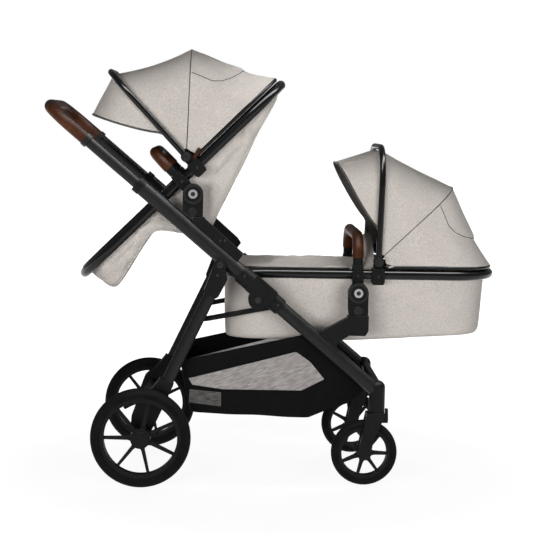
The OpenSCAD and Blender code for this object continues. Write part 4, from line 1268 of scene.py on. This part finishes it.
def leg_caps():
    """The cap on each rear leg's pivot."""
    first = screw_head("leg_cap", radius=10.0)
    on_both_sides(first, "leg_cap_{}", LEG_PIVOT, nylon_painted_light, "rear_frame")
    bpy.data.objects.remove(first)


# The fold link: its pivot and the middle of its cross bar in the side view, and its half width
LINK_PIVOT = (10.24, 519.94)
LINK_END = (-204.7, 478.0)
LINK_HALF = 187.0
LINK_BEND = 28.0
LINK_SLEEVE_R = 7.8
LINK_EYE = 16.0


def link_sleeve():
    """The outside of the fold link's rod, as thick as in the photograph and about 4 mm over its solid."""
    run = LINK_END[0] - LINK_PIVOT[0]
    drop = LINK_END[1] - LINK_PIVOT[1]
    reach = math.hypot(run, drop)
    sleeve = bent_rail("fold_link_sleeve", LINK_HALF, LINK_EYE, reach, LINK_BEND, LINK_SLEEVE_R)
    place = Matrix.Translation(Vector((LINK_PIVOT[0], 0, LINK_PIVOT[1])) * MM)
    settle(sleeve, place @ Matrix.Rotation(math.atan2(-drop, run), 4, "Y"), nylon, "link")


def strap_tab(name, length, width, thickness):
    """A flat tab about Y with a pressed border."""
    bpy.ops.object.select_all(action="DESELECT")
    bpy.ops.mesh.primitive_cube_add(size=1)
    tab = bpy.context.object
    tab.name = name
    bpy.ops.object.mode_set(mode="EDIT")
    bpy.ops.mesh.select_all(action="SELECT")
    bpy.ops.transform.resize(value=(length * MM, thickness * MM, width * MM), center_override=(0, 0, 0))
    bpy.ops.object.mode_set(mode="OBJECT")
    pick_faces(tab, lambda face: abs(face.normal.y) > 0.9)
    bpy.ops.mesh.inset(thickness=0.16 * width * MM)
    bpy.ops.mesh.inset(thickness=0.05 * width * MM, depth=0.3 * MM)
    bpy.ops.object.mode_set(mode="OBJECT")
    round_edges(tab, 0.25 * thickness)
    return tab


# Where the tabs hang in the frame of the seat or the cot, and how far they are tipped in degrees
LEATHER_TAB = (84, -190.2, 76)
ZIP_PULL = (97, -189.6, 75)
TAB_TIP = 15


def hang_tab(tab, unit, place, material):
    tip = Matrix.Rotation(-math.radians(TAB_TIP), 4, "Y")
    settle(tab, unit_matrix(unit) @ Matrix.Translation(Vector(place) * MM) @ tip, material, unit["body"])


def tabs():
    """The leather tab by the seat's hood and the zip pull by the cot's, on the right."""
    tab = strap_tab("seat_leather_tab", length=42, width=10, thickness=2.4)
    hang_tab(tab, SEAT, LEATHER_TAB, leather)
    pull = strap_tab("cot_zip_pull", length=15, width=5, thickness=1.8)
    hang_tab(pull, COT, ZIP_PULL, steel)


def pivot_caps():
    """The round cap with its bolt on each canopy pivot."""
    first = screw_head("pivot_cap", radius=13.0)
    for unit in (SEAT, COT):
        p = unit_point(unit, PIVOT[0], 0, PIVOT[1]) / MM
        place = (p.x, BOW_FACE + CAP_PROUD, p.z)
        on_both_sides(first, unit["name"] + "_pivot_cap_{}", place, nylon_painted_light, unit["front"])
    bpy.data.objects.remove(first)


# Stage


def maths(tree, operation, a, b):
    made = tree.nodes.new("ShaderNodeMath")
    made.operation = operation
    tree.links.new(a, made.inputs[0])
    tree.links.new(b, made.inputs[1])
    return made.outputs[0]


def shader_mix(tree, share, plain, other):
    """A plain shader that gives way to another by a share."""
    made = tree.nodes.new("ShaderNodeMixShader")
    tree.links.new(share, made.inputs["Fac"])
    tree.links.new(plain, made.inputs[1])
    tree.links.new(other, made.inputs[2])
    return made.outputs[0]


def rising_share(tree, near, far, low, high):
    """A share that rises with the distance from the pram's middle on the floor."""
    place = tree.nodes.new("ShaderNodeNewGeometry")
    length = tree.nodes.new("ShaderNodeVectorMath")
    length.operation = "LENGTH"
    tree.links.new(place.outputs["Position"], length.inputs[0])
    share = add_node(tree, "ShaderNodeMapRange", From_Min=near, From_Max=far, To_Min=low, To_Max=high)
    tree.links.new(length.outputs["Value"], share.inputs["Value"])
    return share.outputs["Result"]


def stage():
    """A pale floor that keeps the pram's shadow, and a soft world that the camera sees as white."""
    bpy.ops.mesh.primitive_plane_add(size=30, location=(0, 8, 0))
    floor = bpy.context.object
    floor.name = "floor"
    material, tree, shader = start_material("pale_floor", (0.9, 0.9, 0.9), 0.95, 0.0)
    rays = tree.nodes.new("ShaderNodeLightPath").outputs
    glow = add_node(tree, "ShaderNodeEmission", Color=(1, 1, 1, 1), Strength=1.26)
    seen = maths(tree, "MAXIMUM", rays["Is Camera Ray"], rays["Is Glossy Ray"])
    share = maths(tree, "MULTIPLY", seen, rising_share(tree, near=0.7, far=2.4, low=0.7, high=1.0))
    mix = shader_mix(tree, share, shader.outputs[0], glow.outputs[0])
    tree.links.new(mix, tree.nodes["Material Output"].inputs["Surface"])
    floor.data.materials.append(material)

    world = bpy.data.worlds.new("studio")
    bpy.context.scene.world = world
    world.use_nodes = True
    tree = world.node_tree
    soft = tree.nodes["Background"]
    soft.inputs["Color"].default_value = (1, 1, 1, 1)
    soft.inputs["Strength"].default_value = 0.1
    dim = add_node(tree, "ShaderNodeBackground", Color=(1, 1, 1, 1), Strength=0.16)
    white = add_node(tree, "ShaderNodeBackground", Color=(1, 1, 1, 1), Strength=1.0)
    rays = tree.nodes.new("ShaderNodeLightPath").outputs
    glossy = shader_mix(tree, rays["Is Glossy Ray"], soft.outputs[0], dim.outputs[0])
    seen = shader_mix(tree, rays["Is Camera Ray"], glossy, white.outputs[0])
    tree.links.new(seen, tree.nodes["World Output"].inputs["Surface"])


def area_light(name, place, aim, size, power, shines=True, lights_cloth=True):
    bpy.ops.object.light_add(type="AREA", location=place)
    lamp = bpy.context.object
    lamp.name = name
    lamp.data.shape = "RECTANGLE"
    lamp.data.size, lamp.data.size_y = size
    lamp.data.energy = power
    lamp.rotation_euler = (Vector(aim) - Vector(place)).to_track_quat("-Z", "Y").to_euler()
    lamp.visible_glossy = shines
    lamp.visible_diffuse = lights_cloth
    return lamp


def lights():
    """A strip that only shows as a shine, and lamps without a shine that light the pram all round."""
    area_light("strip", (0.7, -0.8, 3.2), (0.2, 0, 0.6), size=(5.2, 0.8), power=260, lights_cloth=False)
    area_light("front_left", (-2.2, -4.4, 0.85), (0, 0, 0.7), size=(2.4, 1.4), power=130, shines=False)
    area_light("front_right", (2.4, -4.4, 0.8), (0, 0, 0.6), size=(2.4, 1.4), power=122, shines=False)
    apron_lamp = area_light(
        "apron_lamp", (0.04, -0.15, 2.0), (0, 0, 0.63), size=(0.3, 0.3), power=0.35, shines=False)
    apron_lamp.data.spread = math.radians(24)
    apron_lamp.visible_camera = False
    area_light("back_left", (-2.2, 4.4, 1.0), (0, 0, 0.6), size=(2.4, 1.8), power=95, shines=False)
    area_light("back_right", (2.4, 4.4, 1.0), (0, 0, 0.6), size=(2.4, 1.8), power=95, shines=False)


# The photograph's viewpoint: place in metres, turns in degrees, lens in millimetres
CAMERA_PLACE = (-0.1447, -4.6209, 1.0656)
CAMERA_YAW = 1.7925
CAMERA_PITCH = 5.6476
CAMERA_ROLL = 1.0509
CAMERA_LENS = 101.739


def camera():
    """Turned a little right and down, with a slight roll."""
    data = bpy.data.cameras.new("camera")
    data.lens = CAMERA_LENS
    data.sensor_width = 36
    eye = bpy.data.objects.new("camera", data)
    bpy.context.scene.collection.objects.link(eye)
    yaw, pitch, roll = (math.radians(a) for a in (CAMERA_YAW, CAMERA_PITCH, CAMERA_ROLL))
    forward = Vector((math.sin(yaw) * math.cos(pitch), math.cos(yaw) * math.cos(pitch), -math.sin(pitch)))
    level = Vector((math.cos(yaw), -math.sin(yaw), 0))
    upright = level.cross(forward)
    right = level * math.cos(roll) + upright * math.sin(roll)
    up = upright * math.cos(roll) - level * math.sin(roll)
    turn = Matrix((right, up, -forward)).transposed().to_4x4()
    eye.matrix_world = Matrix.Translation(CAMERA_PLACE) @ turn
    bpy.context.scene.camera = eye


camera()
stage()
lights()
bpy.context.scene.view_settings.view_transform = "Standard"
canopy(SEAT)
canopy(COT)
rails()
seat_cloth()
cot_cloth()
cot_apron()
cot_mattress()
basket()
screws()
hub_bolts()
hub_rings()
leg_caps()
link_sleeve()
tabs()
pivot_caps()
